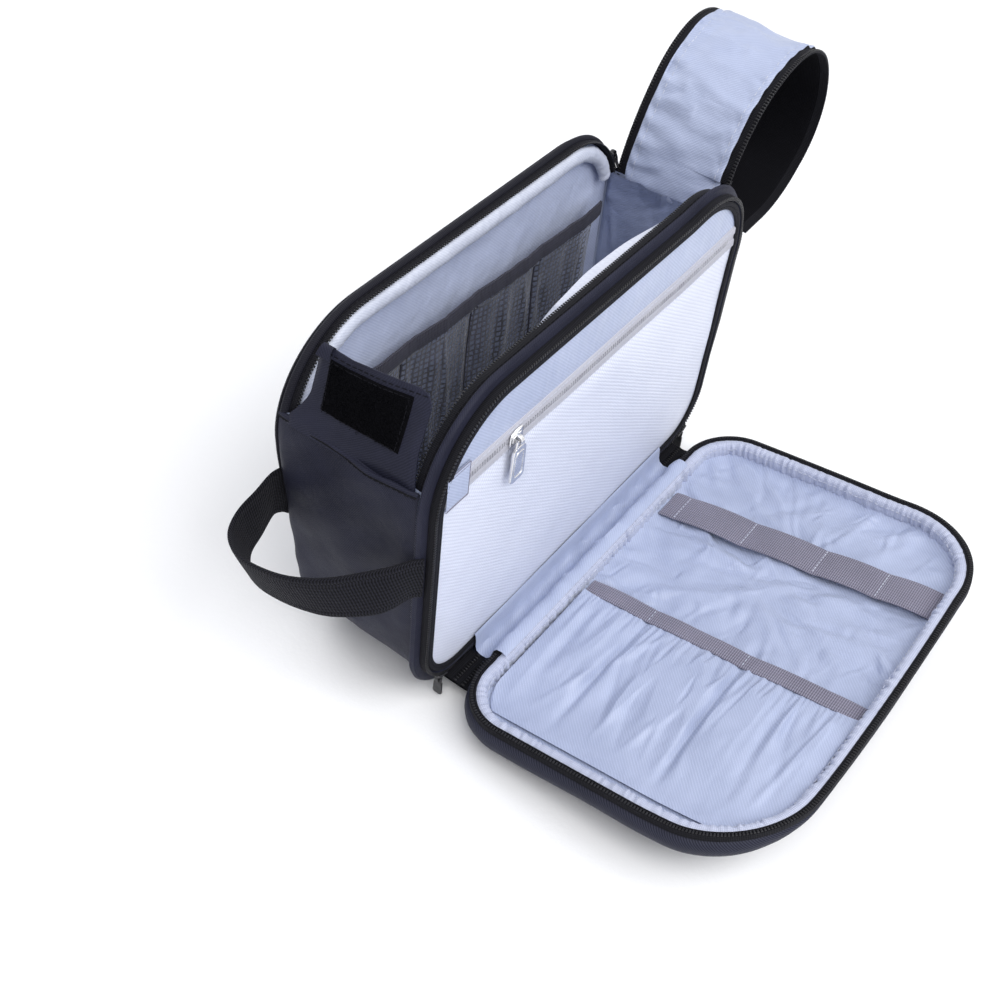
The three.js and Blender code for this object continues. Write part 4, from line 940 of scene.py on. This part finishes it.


# the flap's gusset and face are the lighter copy of the shell: painted light
f = Piece("flap_gusset_cloth").grid(rows, "flap_shell_painted_light", wrap_u=True, cols=["tape"] * 4 + ["flap_shell_painted_light"] * 10)
f.panel(panel_rows(foot, FACE_Y, STEPS, face_crown), "flap_shell_painted_light")
f.grid(section([(-47.3, ZIP, -0.5), (-50.5, ZIP, -1.2), (-57.5, ZIP, -4.2)]), "flap_shell_painted_light", wrap_u=True)
f.beads(at_y(outline(ZIP, -0.2)[0], -47.4), REAR, *TEETH, closed=True)
flap_make(f, ["flap_shell"], "shell")

t = Piece("flap_rim_tape")
t.grid(section([(-48.4, ZIP, -0.8), (-47.6, ZIP, -1.0), (-47.25, ZIP, -1.6), (-47.4, ZIP, -2.2),
                (-48.6, ZIP, -2.6), (-49.0, ZIP, -1.2)]), "tape", **RING)
flap_make(t, ["flap_zip_tape"], "zip")

# puffy binding: a padded roll puckered along its seams
turned = loop(15)[:, None]
c, s = np.cos(loop(15)), np.sin(loop(15))
across, high = 4.9 * np.sign(s) * np.abs(s) ** 0.7, 3.1 * np.sign(c) * np.abs(c) ** 0.8
R = section([(-52.0 + a, ZIP, -4.2 + b) for a, b in zip(across, high)], 0, COUNT, 1501)[:, :-1]
cent = R.mean(0)
arc = lengths(cent)
r = np.random.default_rng(77)
squeeze = 0.99 + 0.04 * ripple(cent, 22, 72)
for _ in range(230):
    c0, w0, d0 = r.uniform(0, arc[-1]), r.uniform(0.7, 1.9), r.uniform(0.03, 0.17)
    gap = np.abs(arc - c0)
    squeeze = squeeze - d0 * np.exp(-(np.minimum(gap, arc[-1] - gap) / w0) ** 2)
around = np.arange(len(R))[:, None]
one_sided = 0.06 + 1.1 * ((1 - np.cos(turned - 0.3)) / 2) ** 1.2
twist = one_sided * (0.75 + 0.25 * np.sin(around * 0.42 + arc / 9))
fine_folds = np.zeros((len(R), len(arc)))
for _ in range(14):
    lam, amp = arc[-1] / round(arc[-1] / r.uniform(2.6, 8.5)), r.uniform(0.02, 0.05)
    stop = 0.5 + 0.5 * np.sin(arc / r.uniform(9, 25) + r.uniform(0, 6))
    fine_folds += amp * stop * np.sin(arc * 6.2832 / lam + r.uniform(0, 6) + r.uniform(-1, 1) * turned)
drawn_in = (1 - np.clip(squeeze, 0.66, 1.06))[None, :] * twist
b = Piece("flap_binding_roll")
b.grid(cent + (R - cent) * (1 - drawn_in + fine_folds * twist * 2.0)[..., None], "binding", **RING)
squeeze = np.interp(np.linspace(0, len(arc), COUNT, endpoint=False), np.arange(len(arc)), squeeze)
seam = at_y(outline(ZIP, -7.2)[0], -49.6 + (squeeze - 1) * 4)
b.beads(seam, REAR, "thread_pale", 3.0, (2.1, 0.35, 0.2), closed=True)
flap_make(b, ["flap_binding"], "lining")

# lining of the flap, quilted by long soft folds
ELASTIC_X = 63.0
LINING_MID = np.array([44.0, 98.0])


def rim_angle(x, z):
    """Folds run in from the rim, as a lining pulled by its binding does."""
    return atan2(z - 98, (x - 40) * 0.8)


def lining_depth(Q, t):
    soft = 0.7 * ripple(at_y(Q, 0), 44, 73, (1, 1, 0.5))
    pull = np.exp(-((Q[:, 0] - ELASTIC_X) / 12) ** 2) * 0.5
    fold = 0
    for seed, count, box, *sizes in (
            (75, 150, (-25, 120, 18, 178), (18, 62), (1.6, 5.5), (0.4, 1.4), rim_angle, 0.5),
            (76, 120, (-25, 122, 18, 178), (8, 26), (0.8, 2.0), (0.25, 0.8)),
            (79, 26, (-20, 118, 24, 172), (40, 95), (2.2, 4.5), (0.7, 1.5), rim_angle, 0.4)):
        fold = fold + creases(Q[:, 0], Q[:, 1], seed, count, box, *sizes)
    rim = 4.6 * exp(-(1 - t) * 16)
    return rim + np.minimum(1, (1 - t) * 9) * (0.6 + 0.55 * soft - pull + np.clip(fold, -1.4, 2.2)) - 0.6


fine = take(outline(ZIP, -3.8)[0], 0, COUNT, 1101)[:-1]
fine_steps = np.concatenate([[1, 0.99, 0.975, 0.955], np.linspace(0.935, 0.02, 84), [0.0005]])
fl = Piece("flap_lining_cloth")
fl.panel(panel_rows(fine, -57.2, fine_steps, lining_depth, LINING_MID), "lining")
fl.panel(panel_rows(outline(ZIP, -14)[0], -63.6), "lining")
flap_make(fl, ["flap_lining"], "lining")

FIELD = (24.4, 172.2)                   # z span of the elastics and the gathered pocket
SEAM_LOW, SEAM_HIGH = 61.3, 112.8       # the pocket's two seams


def elastic_band(name, tag, x0, x1, y_of, pins, thick=1.0, rows_n=90, slant=0.0):
    """A ribbed elastic that bows up between its stitched crossings."""
    p = Piece(name)
    xs = np.concatenate([[x0, x0 + 0.3], np.linspace(x0 + 1.2, x1 - 1.2, 8), [x1 - 0.3, x1]])
    edge = np.minimum(1, np.minimum(xs - x0, x1 - xs) / 0.8)
    top, bot = [], []
    for z in np.linspace(24.3, FIELD[1], rows_n):
        wave = 0.15 * np.sin(z / 4.3) * np.sin((xs - x0) / (x1 - x0) * pi)
        x = xs + (0.35 * sin(z / 21) + slant * (z - 92) / 148)
        top.append(xyz(x, y_of(z) + thick * (0.5 + 0.5 * edge) + wave, z))
        bot.append(xyz(x, y_of(z), z))
    top, bot = np.array(top), np.array(bot)
    p.grid(top, "elastic", uv=planar(2, 0)).grid(bot[:, ::-1], "elastic")
    for side in (0, -1):
        p.grid(np.array([top[:, side], bot[:, side]]), "elastic")
    for z in pins:
        row = xyz(np.linspace(x0 + 0.8, x1 - 0.8, 12) + slant * (z - 92) / 148, y_of(z) + thick + 0.1, z)
        p.beads(row, REAR, "thread_pale", 2.2, (1.5, 0.4, 0.2))
    return flap_make(p, [tag], "elastic")


PINS = [25.0, 33.0, 71.8, 111.3, 143.8, 171.6]


def loop_rise(z):
    """The wide elastic rises between its pins."""
    for a, c in zip(PINS, PINS[1:]):
        if a <= z <= c:
            return -55.6 + 1.3 * sin(pi * (z - a) / (c - a)) ** 0.8 * min(1, (c - a) / 30)
    return -55.6


def narrow_y(z):
    tight = min(abs(z - SEAM_LOW), abs(z - SEAM_HIGH), z - 22, 175 - z)
    return -55.0 + 0.9 * min(1, tight / 14) ** 0.8 + 0.12 * sin(z / 5.1)


elastic_band("wide_elastic_band", "wide_elastic_loops", 53.1, 72.9, loop_rise, PINS[1:-1], slant=7.5)

# gathered pocket: cloth drawn in at the elastic, full at the far side
X_FAR, X_MOUTH = -110.0, -21.0
ZS = np.linspace(*FIELD, 440)
TO_END = np.minimum(ZS - FIELD[0], FIELD[1] - ZS)
r = np.random.default_rng(78)
PLEATS = []
for j in range(64):
    z0 = 27 + 142 * (j + 0.5) / 64 + r.normal() * 0.7
    bay = 45 if z0 < SEAM_LOW else 87 if z0 < SEAM_HIGH else 139
    PLEATS.append((z0, (z0 - bay) * r.uniform(0.05, 0.5) + r.normal() * 3, r.uniform(0.12, 0.5),
                   r.uniform(0.7, 2.1), r.uniform(0.8, 1.3)))
BROAD = [(r.uniform(32, 162), r.normal() * 20, r.uniform(-1.7, 2.3), r.uniform(1.8, 5.0)) for _ in range(36)]
left = np.maximum(-half_width(ZIP, ZS, 8.4), X_FAR) + 0.4
rows = []
for u in np.concatenate([np.linspace(0, 0.3, 22, endpoint=False), np.linspace(0.3, 1, 30)]):
    fold = np.zeros(len(ZS))
    for z0, drift, reach, amp, w0 in PLEATS:
        fold += amp * exp(-(u / reach) ** 2) * np.exp(-((ZS - z0 - drift * u) / (w0 + 4.5 * u)) ** 2)
    for z0, drift, amp, w0 in BROAD:
        fold += amp * sin(pi * min(1, u + 0.12)) * np.exp(-((ZS - z0 - drift * (u - 0.5)) / w0) ** 2)
    seam = np.minimum(np.abs(ZS - (SEAM_LOW - 3 * u)), np.abs(ZS - (SEAM_HIGH + 2 * u)))
    tuck = np.exp(-(seam / 2.6) ** 2)
    high = 1.5 * (1 - u) ** 0.5 + 3.2 * sin(pi * min(1, u * 1.1)) ** 1.2
    rim = np.maximum(np.exp(-TO_END / 5.5), exp(-(1 - u) * 89 / 6))
    ends = np.clip(TO_END / 8, 0, 1) ** 0.6
    y = -56.2 + 3.8 * rim + ends * (1 - 0.8 * tuck) * (high + fold * min(1, 0.25 + u * 6))
    rows.append(xyz(X_MOUTH + (left - X_MOUTH) * u, np.clip(y, -56.6, -50.4), ZS))
G = np.array(rows)
G[-1, :, 1] = -54.0
gp = Piece("gathered_pocket_cloth").grid(G, "lining", uv=planar(2, 0))
ob = flap_make(gp, ["gathered_pocket"], "lining")
relax(G.reshape(-1, 3)).reshape(G.shape)
elastic_band("narrow_elastic_band", "narrow_elastic_edge", -21.4, -11.8, narrow_y, [SEAM_LOW, SEAM_HIGH],
             0.9, 150)


# lid, one soft strip in nine lengths
def heading(a):
    return np.array([cos(radians(a)), sin(radians(a))])


HEADS = [72, 52, 14, -26, -62, -100, -142, -178]
STEP = 33.75
H = [np.array([HIGH_X + sqrt(48.4 ** 2 - ARCH_END ** 2), HIGH_Z + ARCH_END])]
for a in HEADS:
    H.append(H[-1] + STEP * heading(a))
SEAM_DIR = heading(106.3)
MIDS = [H[0] - 4.5 * SEAM_DIR] + [(H[k] + H[k + 1]) / 2 for k in range(8)] + [H[8]]
t = np.linspace(0, 1, 34)[:, None]
SEGS = [(1 - t) ** 2 * MIDS[k] + 2 * t * (1 - t) * H[k] + t ** 2 * MIDS[k + 1] for k in range(8)]
t = np.linspace(0, 1, 26)[:, None]
SEGS.append(MIDS[8] * (1 - t) + MIDS[9] * t)
LID_Y = (-31.8, 29.5)
LID_MID = sum(LID_Y) / 2


def lid_profile():
    """(y, height, material) round the strip: its lined face, its edges and its back."""
    y0, y1 = LID_Y
    P = [(y0, 0.0, "tape"), (y0 + 0.1, 0.5, "tape"), (y0 + 4.7, 0.6, "tape"), (y0 + 4.9, 0.95, "lining"),
         (y0 + 5.6, 1.35, "lining")]
    P += [(y, 1.5, "lining") for y in np.linspace(y0 + 6.6, y1 - 6.6, 40)]
    P += [(y1 - 5.6, 1.35, "lining"), (y1 - 4.9, 0.95, "tape"), (y1 - 4.7, 0.6, "tape"),
          (y1 - 0.1, 0.5, "tape"),
          (y1, 0.0, "tape"), (y1 - 0.1, -0.5, "tape"), (y1 - 4.7, -0.6, "black_cloth"),
          (y1 - 5.6, -1.0, "black_cloth")]
    P += [(y, -1.2, "black_cloth") for y in np.linspace(y1 - 7, y0 + 7, 16)]
    return P + [(y0 + 5.6, -1.0, "black_cloth"), (y0 + 4.7, -0.6, "tape"), (y0 + 0.1, -0.5, "tape")]


def lid_wave(s, y, height, mat):
    """How far a line of the strip stands off its curve: cupped all along, wrinkled on the lined face."""
    S3 = xyz(s, y, 0)
    cup = 1.3 * (1 - ((y - LID_MID) / 31) ** 2) * np.sin(s / 27 + 0.7) * 0.7
    soft = max(0, min(1, (31 - abs(y - LID_MID)) / 6))
    if mat != "lining" and height <= 1:
        return cup + soft * 0.3 * ripple(S3, 24, 83)
    w = cup + soft * (0.6 * ripple(S3, 17, 81, (1, 0.55, 1)) + 0.3 * ripple(S3, 8, 82, (1, 0.4, 1)))
    w = w + soft * creases(s, y, 84, 90, (0, 260, -34, 34), (12, 34), (1.2, 3), (0.2, 0.7))
    edgy = exp(-((abs(y - LID_MID) - 24) / 4) ** 2)
    return np.maximum(w + edgy * 0.45 * np.sin(s / 1.7 + sin(y)), cup - 1.3)


PROF = lid_profile()
FACE_END = len([q for q in PROF if q[1] > 0])
run = 0.0
for k, C in enumerate(SEGS):
    T = unit(np.gradient(C, axis=0))
    if k < 8:
        T[0] = SEAM_DIR if k == 0 else unit(H[k] - MIDS[k])
        T[-1] = unit(MIDS[k + 1] - H[k])
    Nn = np.stack([-T[:, 1], T[:, 0]], 1)
    face = xyz(Nn[:, 0], 0, Nn[:, 1])
    s = run + lengths(C)
    run = s[-1]
    closing = np.clip((s - 170) / 40, 0, 1)
    grow_in = np.minimum(1, s / 9) if k == 0 else 1.0
    rows = []
    for y, height, mat in PROF:
        side = 0.55 * np.sin(s / 19 + (2 if y > 0 else 0)) * (1 - 0.9 * closing)
        side = side - 0.026 * (y - LID_MID) * closing
        Q = C + Nn * (height + lid_wave(s, y, height, mat) * grow_in)[:, None]
        if k == 8 and mat in ("lining", "black_cloth") and abs(height) > 0.9:
            Q = Q + Nn * (np.sign(height) * 0.45 * np.clip((s - (s[-1] - 7)) / 0.8, 0, 1))[:, None]
        rows.append(at_y(Q, y + side * grow_in))
    rows = np.array(rows)
    p = Piece("lid_strip_%d" % k).grid(rows, "lining", wrap_v=True, cols=[q[2] for q in PROF])
    for i, inward in ((1, 0.9), (FACE_END, -0.9)):
        p.beads(rows[i] + [0, inward, 0] + face * 0.02, face, *TEETH)
    for i in (6, 42):
        p.beads(rows[i] + face * 0.02, face, "thread_pale", 3.2, (2.1, 0.32, 0.16))
    if k == 8:
        p.faces(rows[:, -1], [tuple(range(len(PROF)))], "black_cloth")
        for sg, h0 in ((1, 1.95), (-1, -1.7)):
            at = C[-1] - T[-1] * 5.6 + Nn[-1] * h0
            line = xyz(at[0], np.linspace(-25, 22.5, 12), at[1])
            p.beads(line, face[-1] * sg, "thread_pale", 3.0, (2.1, 0.4, 0.25))
        p.make("lid_8", ["lid_hem", "lid_panel_8"], "shell")
    else:
        body = "lid_%d" % k if k else "case"
        start, end = MIDS[k] if k else H[0] - 3.5 * SEAM_DIR, MIDS[k + 1]
        p.make(body, ["lid_panel_%d" % k] if k else [], "shell",
               fold=(body, "lid_%d" % (k + 1), (start[0], 0, start[1]), (end[0], 0, end[1])))

along, off = (xyz(v[0], 0, v[1]) for v in (heading(HEADS[7]), heading(HEADS[7] + 90)))
HOOK_X = np.linspace(9.0, 26.4, 22)
r = np.random.default_rng(5)
rows = []
for i, y in enumerate(np.linspace(-20, 20, 40)):
    pile = 2.3 + 0.25 * r.random(len(HOOK_X))
    pile[[0, -1]] = 1.7
    if i in (0, 39):
        pile[:] = 1.7
    rows.append(xyz(H[7][0], LID_MID + y, H[7][1]) + HOOK_X[:, None] * along + pile[:, None] * off)
Piece("lid_hook_cloth").grid(rows, "fleece").make("lid_8", ["lid_hook_patch"], "webbing")

# tongue at the handle end
TONGUE_FOOT = np.array([-124.17, 148.0])
TONGUE_Y = (-31.5, 24.0)
rise2, out2 = heading(70), heading(160)
rise3, out3 = xyz(rise2[0], 0, rise2[1]), xyz(out2[0], 0, out2[1])


def tongue_row(sv, sign):
    """A row across the tongue at height sv: its top corners are rounded and its face is soft."""
    top = max(0.0, sv - 30) / 8
    shrink = 7.0 * (1 - sqrt(max(0.0, 1 - top ** 2)))
    flare = max(0.0, 1 - max(sv, 0) / 16) ** 1.5
    y = np.linspace(TONGUE_Y[0] - 3.4 * flare + shrink, TONGUE_Y[1] + 8.6 * flare - shrink * 0.8, 60)
    edge = np.minimum(1, np.minimum(y - y[0], y[-1] - y) / 2.5) * min(1, (38.01 - sv) / 2.5)
    lean = 2.6 * (sv / 38) ** 2 * sin(1.2) if sv > 0 else 0
    soft = 0.5 * ripple(xyz(sv, y, 0), 22, 91) * edge * (1 if sv > 2 else 0)
    height = sign * (0.35 + 0.75 * edge) + soft + 0.6 * lean * (1 - ((y + 3.75) / 28) ** 2)
    raised = 5.0 * max(0, sv / 38) * np.clip((8 - y) / 38, 0, 1)
    Q = TONGUE_FOOT + (heading(73.7) if sv < 0 else rise2) * sv
    Q = Q + height[:, None] * out2 + raised[:, None] * rise2
    return at_y(Q, y)


ts = np.concatenate([[-4.0, -2.0], np.linspace(0, 38, 34)])
face, rear = (np.array([tongue_row(v, sign) for v in ts]) for sign in (1, -1))
tg = Piece("handle_end_tongue_cloth").grid(face, "shell").grid(rear, "lining")
for edge in ([face[:, 0], rear[:, 0]], [face[:, -1], rear[:, -1]], [face[-1], rear[-1]]):
    tg.grid(edge, "shell")
tg.beads(face[-3] + out3 * 0.03, out3, "thread_dark", 3.0, (2.1, 0.35, 0.2))
tab = []
for a in pi * np.linspace(0, 1, 9):
    c = TONGUE_FOOT + rise2 * (33.5 + 5.5 * sin(a)) + out2 * (1.6 - 2.6 * cos(a))
    tab.append(xyz(c[0], [16.5 + 0.6 * sin(a), 19.5, 23.6 - 1.2 * sin(a)], c[1]))
tg.grid(tab, "shell")
tg.make("case", ["handle_end_tongue"], "shell", fold=("case", "tongue", (-125.0, 0, 145.5),
                                                      (-122.0, 0, 153.5)))

PATCH = (10.5, 34.0)
r = np.random.default_rng(8)
y = np.linspace(-23.6, 17.3, 86)
rows = []
for v in np.linspace(*PATCH, 54):
    row = tongue_row(v, 1)
    edge = np.minimum(1, np.minimum(y - y[0], y[-1] - y) / 1.2)
    edge = edge * min(1, min(v - PATCH[0], PATCH[1] - v) / 1.2 + 0.001)
    pile = 1.05 * edge ** 0.5 + 0.6 * (r.random(86) - 0.5) * edge
    x, z = (np.interp(y, row[:, 1], row[:, k]) for k in (0, 2))
    rows.append(xyz(x, y, z) + pile[:, None] * out3)
rows = np.array(rows)
lp = Piece("loop_patch_fleece").grid(rows, "fleece")
stitch = np.concatenate([rows[2, 3:-3], rows[2:-2, -4], rows[-3, -4:2:-1], rows[-3:1:-1, 3]]) + out3 * 0.1
lp.beads(stitch, out3, "thread_dark", 2.6, (1.9, 0.35, 0.3))
for _ in range(700):
    i, j = r.integers(1, 53), r.integers(1, 85)
    q = rows[i, j] + r.normal(size=3) * 0.25
    bend = np.array([r.normal() * 0.7, r.normal() * 0.7, 0])
    lp.tube([q, q + out3 * 0.7 + bend * 0.4, q + out3 * 0.8 + bend], 0.09, "fleece", 3)
lp.make("tongue", ["loop_patch"], "webbing")

# handle

# The loop's upper and lower edge, as shares of its depth and of its width.
UPPER = [(0.27, 0.486), (0.56, 0.455), (0.79, 0.385), (0.922, 0.26), (0.926, 0.1), (0.828, -0.088),
         (0.6, -0.27), (0.23, -0.446)]
LOWER = [(0.3, 0.452), (0.52, 0.4), (0.66, 0.325), (0.755, 0.235), (0.78, 0.101), (0.72, -0.101),
         (0.585, -0.29), (0.3, -0.468)]


def catmull(P, n):
    """A smooth curve through points."""
    P = np.vstack([2 * P[0] - P[1], P, 2 * P[-1] - P[-2]])
    out = []
    for k in range(1, len(P) - 2):
        a, b, c, d = P[k - 1:k + 3]
        for t in np.linspace(0, 1, n // (len(P) - 3), endpoint=False):
            out.append(0.5 * (2 * b + (c - a) * t + (2 * a - 5 * b + 4 * c - d) * t ** 2
                              + (3 * b - a - 3 * c + d) * t ** 3))
    return np.array(out + [P[-2]])


def strap_edge(shares, z):
    mid = [(-129.4 - 46 * a, 0.5 + 74 * b) for a, b in shares]
    pts = [(-123.6, 37.6), (-126.2, 38.4), (-131.0, 38.6)] + mid + [(-128.6, -38.6), (-124.6, -41.8)]
    C = catmull(np.array(pts), 240)
    return xyz(C[:, 0], C[:, 1], z)


upper, lower = strap_edge(UPPER, 112.5), strap_edge(LOWER, 87.5)
root = np.exp(-np.arange(len(lower)) / 26.0)
lower[:, 2] -= 6.0 * root
lower[:, 0] += 2.0 * root
T = unit(np.gradient(upper, axis=0) + np.gradient(lower, axis=0))
OUT = xyz(T[:, 1], -T[:, 0], 0)
if OUT[len(OUT) // 2][0] > 0:
    OUT = -OUT
WEB = [(0, -0.4), (0, 0.4), (0.03, 0.85), (0.10, 1.0), (0.14, 0.82), (0.2, 1.0), (0.35, 1.0), (0.5, 1.0),
       (0.65, 1.0),
       (0.8, 1.0), (0.86, 0.82), (0.9, 1.0), (0.97, 0.85), (1, 0.4), (1, -0.4), (0.97, -0.85), (0.9, -1.0),
       (0.86, -0.82), (0.8, -1.0), (0.5, -1.0), (0.2, -1.0), (0.14, -0.82), (0.1, -1.0), (0.03, -0.85)]
rows = []
for u, height in WEB:
    C = upper * (1 - u) + lower * u
    rows.append(C + OUT * (height + 0.25 * ripple(C, 30, 95))[:, None])
st = Piece("handle_webbing").grid(rows, "webbing", wrap_v=True, uv=lambda e: (run_uv(e, 1), run_uv(e, 0)))
st.make("case", ["handle_strap", "handle_sewn_end_rear", "handle_sewn_end_front"], "webbing",
        fold=("case", "handle", (-129.2, 0.5, 100), (-152, 0.5, 100)))


# sliders and pullers
def round_poly(w, h, r, n, taper, shift=0.0):
    """A rectangle with round corners, narrower at one end by taper."""
    pts = []
    for cx, cy, a0 in ((w / 2 - r, h / 2 - r, 0), (-w / 2 + r, h / 2 * (1 - taper) - r, 90),
                       (-w / 2 + r, -h / 2 * (1 - taper) + r, 180), (w / 2 - r, -h / 2 + r, 270)):
        for a in np.linspace(a0, a0 + 90, n):
            pts.append((cx + r * cos(radians(a)), cy + r * sin(radians(a))))
    return np.array(pts) + [shift, 0]


def local(at, X, Y, Z):
    """From points along a fitting's own axes to points in the frame."""
    def out(points):
        p = np.asarray(points)
        return np.asarray(at) + p[..., 0:1] * X + p[..., 1:2] * Y + p[..., 2:3] * Z
    return out


def slider(name, at, along, out, width, mat, across_pin):
    across = np.cross(out, along)
    L = local(at, along, across, out)
    axes = (at, along, across, out, mat)
    p = Piece(name + "_slider_detail")
    p.prism(round_poly(9, width, 1.1, 6, 0.28), 0.35, 1.35, *axes, 0.35)
    p.prism(round_poly(6.4, width * 0.62, 0.9, 6, 0.28), 1.2, 1.75, *axes, 0.3)
    for sg in (-1, 1):
        edge = sg * (width / 2 - 0.35)
        p.tube(L([(-3.6, sg * width * 0.34, 0.6), (0, edge, 0.6), (4.1, edge, 0.6)]), 0.42, mat)
    a = np.linspace(0, pi, 17)
    rise = 1.2 + 3.3 * np.sin(a) ** 0.75
    if across_pin:
        path, wide = L(xyz(0, 2.3 * np.cos(a), rise)), along
    else:
        path, wide = L(xyz(2.5 * np.cos(a), 0, rise)), across
    thick = np.cross(unit(np.gradient(path, axis=0)), wide)
    p.grid([path + wide * c + thick * d for c, d in (
        (-0.95, -0.42), (-0.7, -0.55), (0.7, -0.55), (0.95, -0.42), (0.95, 0.3), (0.7, 0.48), (-0.7, 0.48),
        (-0.95, 0.3))], mat, wrap_v=True)
    p.make(name + "_slider", [name + "_slider"], "silver" if mat == "silver" else "zip", sharp=0.6)


def puller(name, hinge, hang, pin, kind, length, mat):
    thin = np.cross(hang, pin)
    L = local(hinge, hang, pin, thin)
    axes = (hinge, hang, pin, thin, mat)
    p = Piece(name + "_pull_detail")
    p.tube(L([(0, -2.0, 0), (0, 2.0, 0)]), 0.62, mat, 10)
    if kind == "plate":
        p.prism(round_poly(length - 3.0, 10, 2.6, 8, 0.12, 3.0 + (length - 3.0) / 2), -0.75, 0.75, *axes, 0.4)
        inner = round_poly(length - 9.5, 6.4, 1.8, 8, 0.1, 5.2 + (length - 9.5) / 2 + 1)
        for sg in (-1, 1):
            p.tube(L(xyz(inner[:, 0], inner[:, 1], sg * 0.75)), 0.32, mat, 6, closed=True)
        for sg in (-1, 1):
            prong = [(-0.2, sg * 1.75, 0), (1.6, sg * 1.85, 0), (3.2, sg * 2.4, 0), (4.2, sg * 2.8, 0)]
            p.tube(L(prong), [0.85, 0.8, 0.75, 0.7], mat)
    elif kind == "tab":
        p.prism(round_poly(length - 2.6, 5.2, 1.5, 6, 0.1, 2.6 + (length - 2.6) / 2), -0.65, 0.65, *axes, 0.3)
        for sg in (-1, 1):
            p.tube(L([(-0.2, sg * 1.5, 0), (1.6, sg * 1.5, 0), (3.4, sg * 1.3, 0)]), 0.6, mat)
    else:
        for sg in (-1, 1):
            p.tube(L([(-0.3, sg * 1.6, 0), (2.2, sg * 1.75, 0), (4.4, sg * 1.5, 0)]), 0.62, mat)
        p.tube(L([(4.4, -1.9, 0), (4.4, 1.9, 0)]), 0.6, mat)
        for sg in (-1, 1):
            xs = np.linspace(4.2, length - 10, 40)
            p.tube(L(xyz(xs, sg * (0.95 + 0.25 * np.sin(xs / 6)), 0.25 * np.sin(xs / 5 + sg))), 0.85, "cord")
        p.prism(round_poly(12, 4.4, 1.6, 6, 0.1, length - 6), -1.1, 1.1, *axes, 0.5)
        for q in (-3, -1.2, 0.6, 2.4):
            for z in (1.05, -1.05):
                p.tube(L([(length - 6 + q, -2.05, z), (length - 6 + q, 2.05, z)]), 0.28, mat, 6)
    p.make(name + "_puller", [name + "_puller"], "silver" if mat == "silver" else "zip", sharp=0.6)


def zip_pull(name, at, along, out, hang, kind, length, mat="black_metal", width=4.6):
    along, out, hang = (np.array(v, float) for v in (along, out, hang))
    across = np.cross(out, along)
    by_zip = abs(hang @ across) > abs(hang @ along)
    slider(name, at, along, out, width, mat, by_zip)
    puller(name, np.array(at) + out * 3.2, hang, along if by_zip else across, kind, length, mat)


zip_pull("inner_pocket", (-70, -44.8, INNER_ZIP_Z), (1, 0, 0), FRONT, DOWN, "plate", 24, "silver", 9)
zip_pull("rear_pocket", tuple(settle([(104, 44.6, REAR_ZIP_Z)])[0]), (1, 0, 0), REAR, DOWN, "cords", 24,
         width=9)
PA = radians(28)                        # where the lid's sliders stand on the high corner
po, pd = (cos(PA), 0, sin(PA)), (sin(PA), 0, -cos(PA))
for name, y in (("front_lid_zip", -34.7), ("rear_lid_zip", 32.4)):
    zip_pull(name, (HIGH_X + 47 * po[0], y, HIGH_Z + 47 * po[2]), (-pd[0], 0, -pd[2]), po, pd, "cords", 42)
FA = radians(61)                        # where the flap's sliders stand on the low corners
for name, sg in (("flap_zip_left", -1), ("flap_zip_right", 1)):
    out = (sg * cos(FA), 0, -sin(FA))
    at = (sg * LOW_X + 28 * out[0], -44.2, LOW_Z + 28 * out[2])
    zip_pull(name, at, (sg * sin(FA), 0, cos(FA)), out, DOWN, "tab", 12)

# floor, light
s = Shader("paper_floor", uv=False)
me = bpy.data.meshes.new("floor")
me.from_pydata([(x, y, -0.0004) for x, y in ((-6, -6), (6, -6), (6, 6), (-6, 6))], [], [(0, 1, 2, 3)])
me.materials.append(s.done({
    "Base Color": s.ramp(s.noise(300, 2.0), (0.3, (0.93, 0.93, 0.935)), (0.7, (0.97, 0.97, 0.975))),
    "Normal": s.bump(s.noise(3, 2.0), 0.0001), "Roughness": 0.75}))
link("floor", me)


def lamp(name, loc, aim, size, power, colour):
    d = bpy.data.lights.new(name, "AREA")
    d.shape, d.size, d.energy, d.color = "DISK", size, power, colour
    ob = link(name, d)
    ob.location = loc
    ob.rotation_euler = (Vector(aim) - Vector(loc)).to_track_quat("-Z", "Y").to_euler()


lamp("key", (-0.7, -0.6, 1.6), (0, 0, 0.05), 1.1, 14, (1, 0.99, 0.98))
lamp("fill", (0.2, -1.35, 1.6), (0, -0.02, 0.1), 1.6, 23, (0.98, 0.99, 1))
lamp("back", (0.4, 1.3, 1.3), (0, 0, 0.1), 1.1, 9, (0.97, 0.98, 1))

# white where the camera, a mirror or glass sees the sky, bluish light elsewhere
world = bpy.data.worlds.new("world")
bpy.context.scene.world = world
world.use_nodes = True
nt = world.node_tree
rays, mix, pale = (nt.nodes.new("ShaderNode" + kind) for kind in ("LightPath", "MixShader", "Background"))
bg = nt.nodes["Background"]
pale.inputs[0].default_value, pale.inputs[1].default_value = (0.97, 0.97, 0.975, 1), 1.0
bg.inputs[0].default_value, bg.inputs[1].default_value = (0.92, 0.94, 1.0, 1), 0.56
seen = rays.outputs["Is Camera Ray"]
for ray in ("Is Glossy Ray", "Is Transmission Ray"):
    add = nt.nodes.new("ShaderNodeMath")
    add.operation = "ADD"
    nt.links.new(seen, add.inputs[0])
    nt.links.new(rays.outputs[ray], add.inputs[1])
    seen = add.outputs[0]
for i, socket in enumerate((seen, bg.outputs[0], pale.outputs[0])):
    nt.links.new(socket, mix.inputs[i])
nt.links.new(mix.outputs[0], nt.nodes["World Output"].inputs[0])
bpy.context.scene.view_settings.view_transform = "Standard"
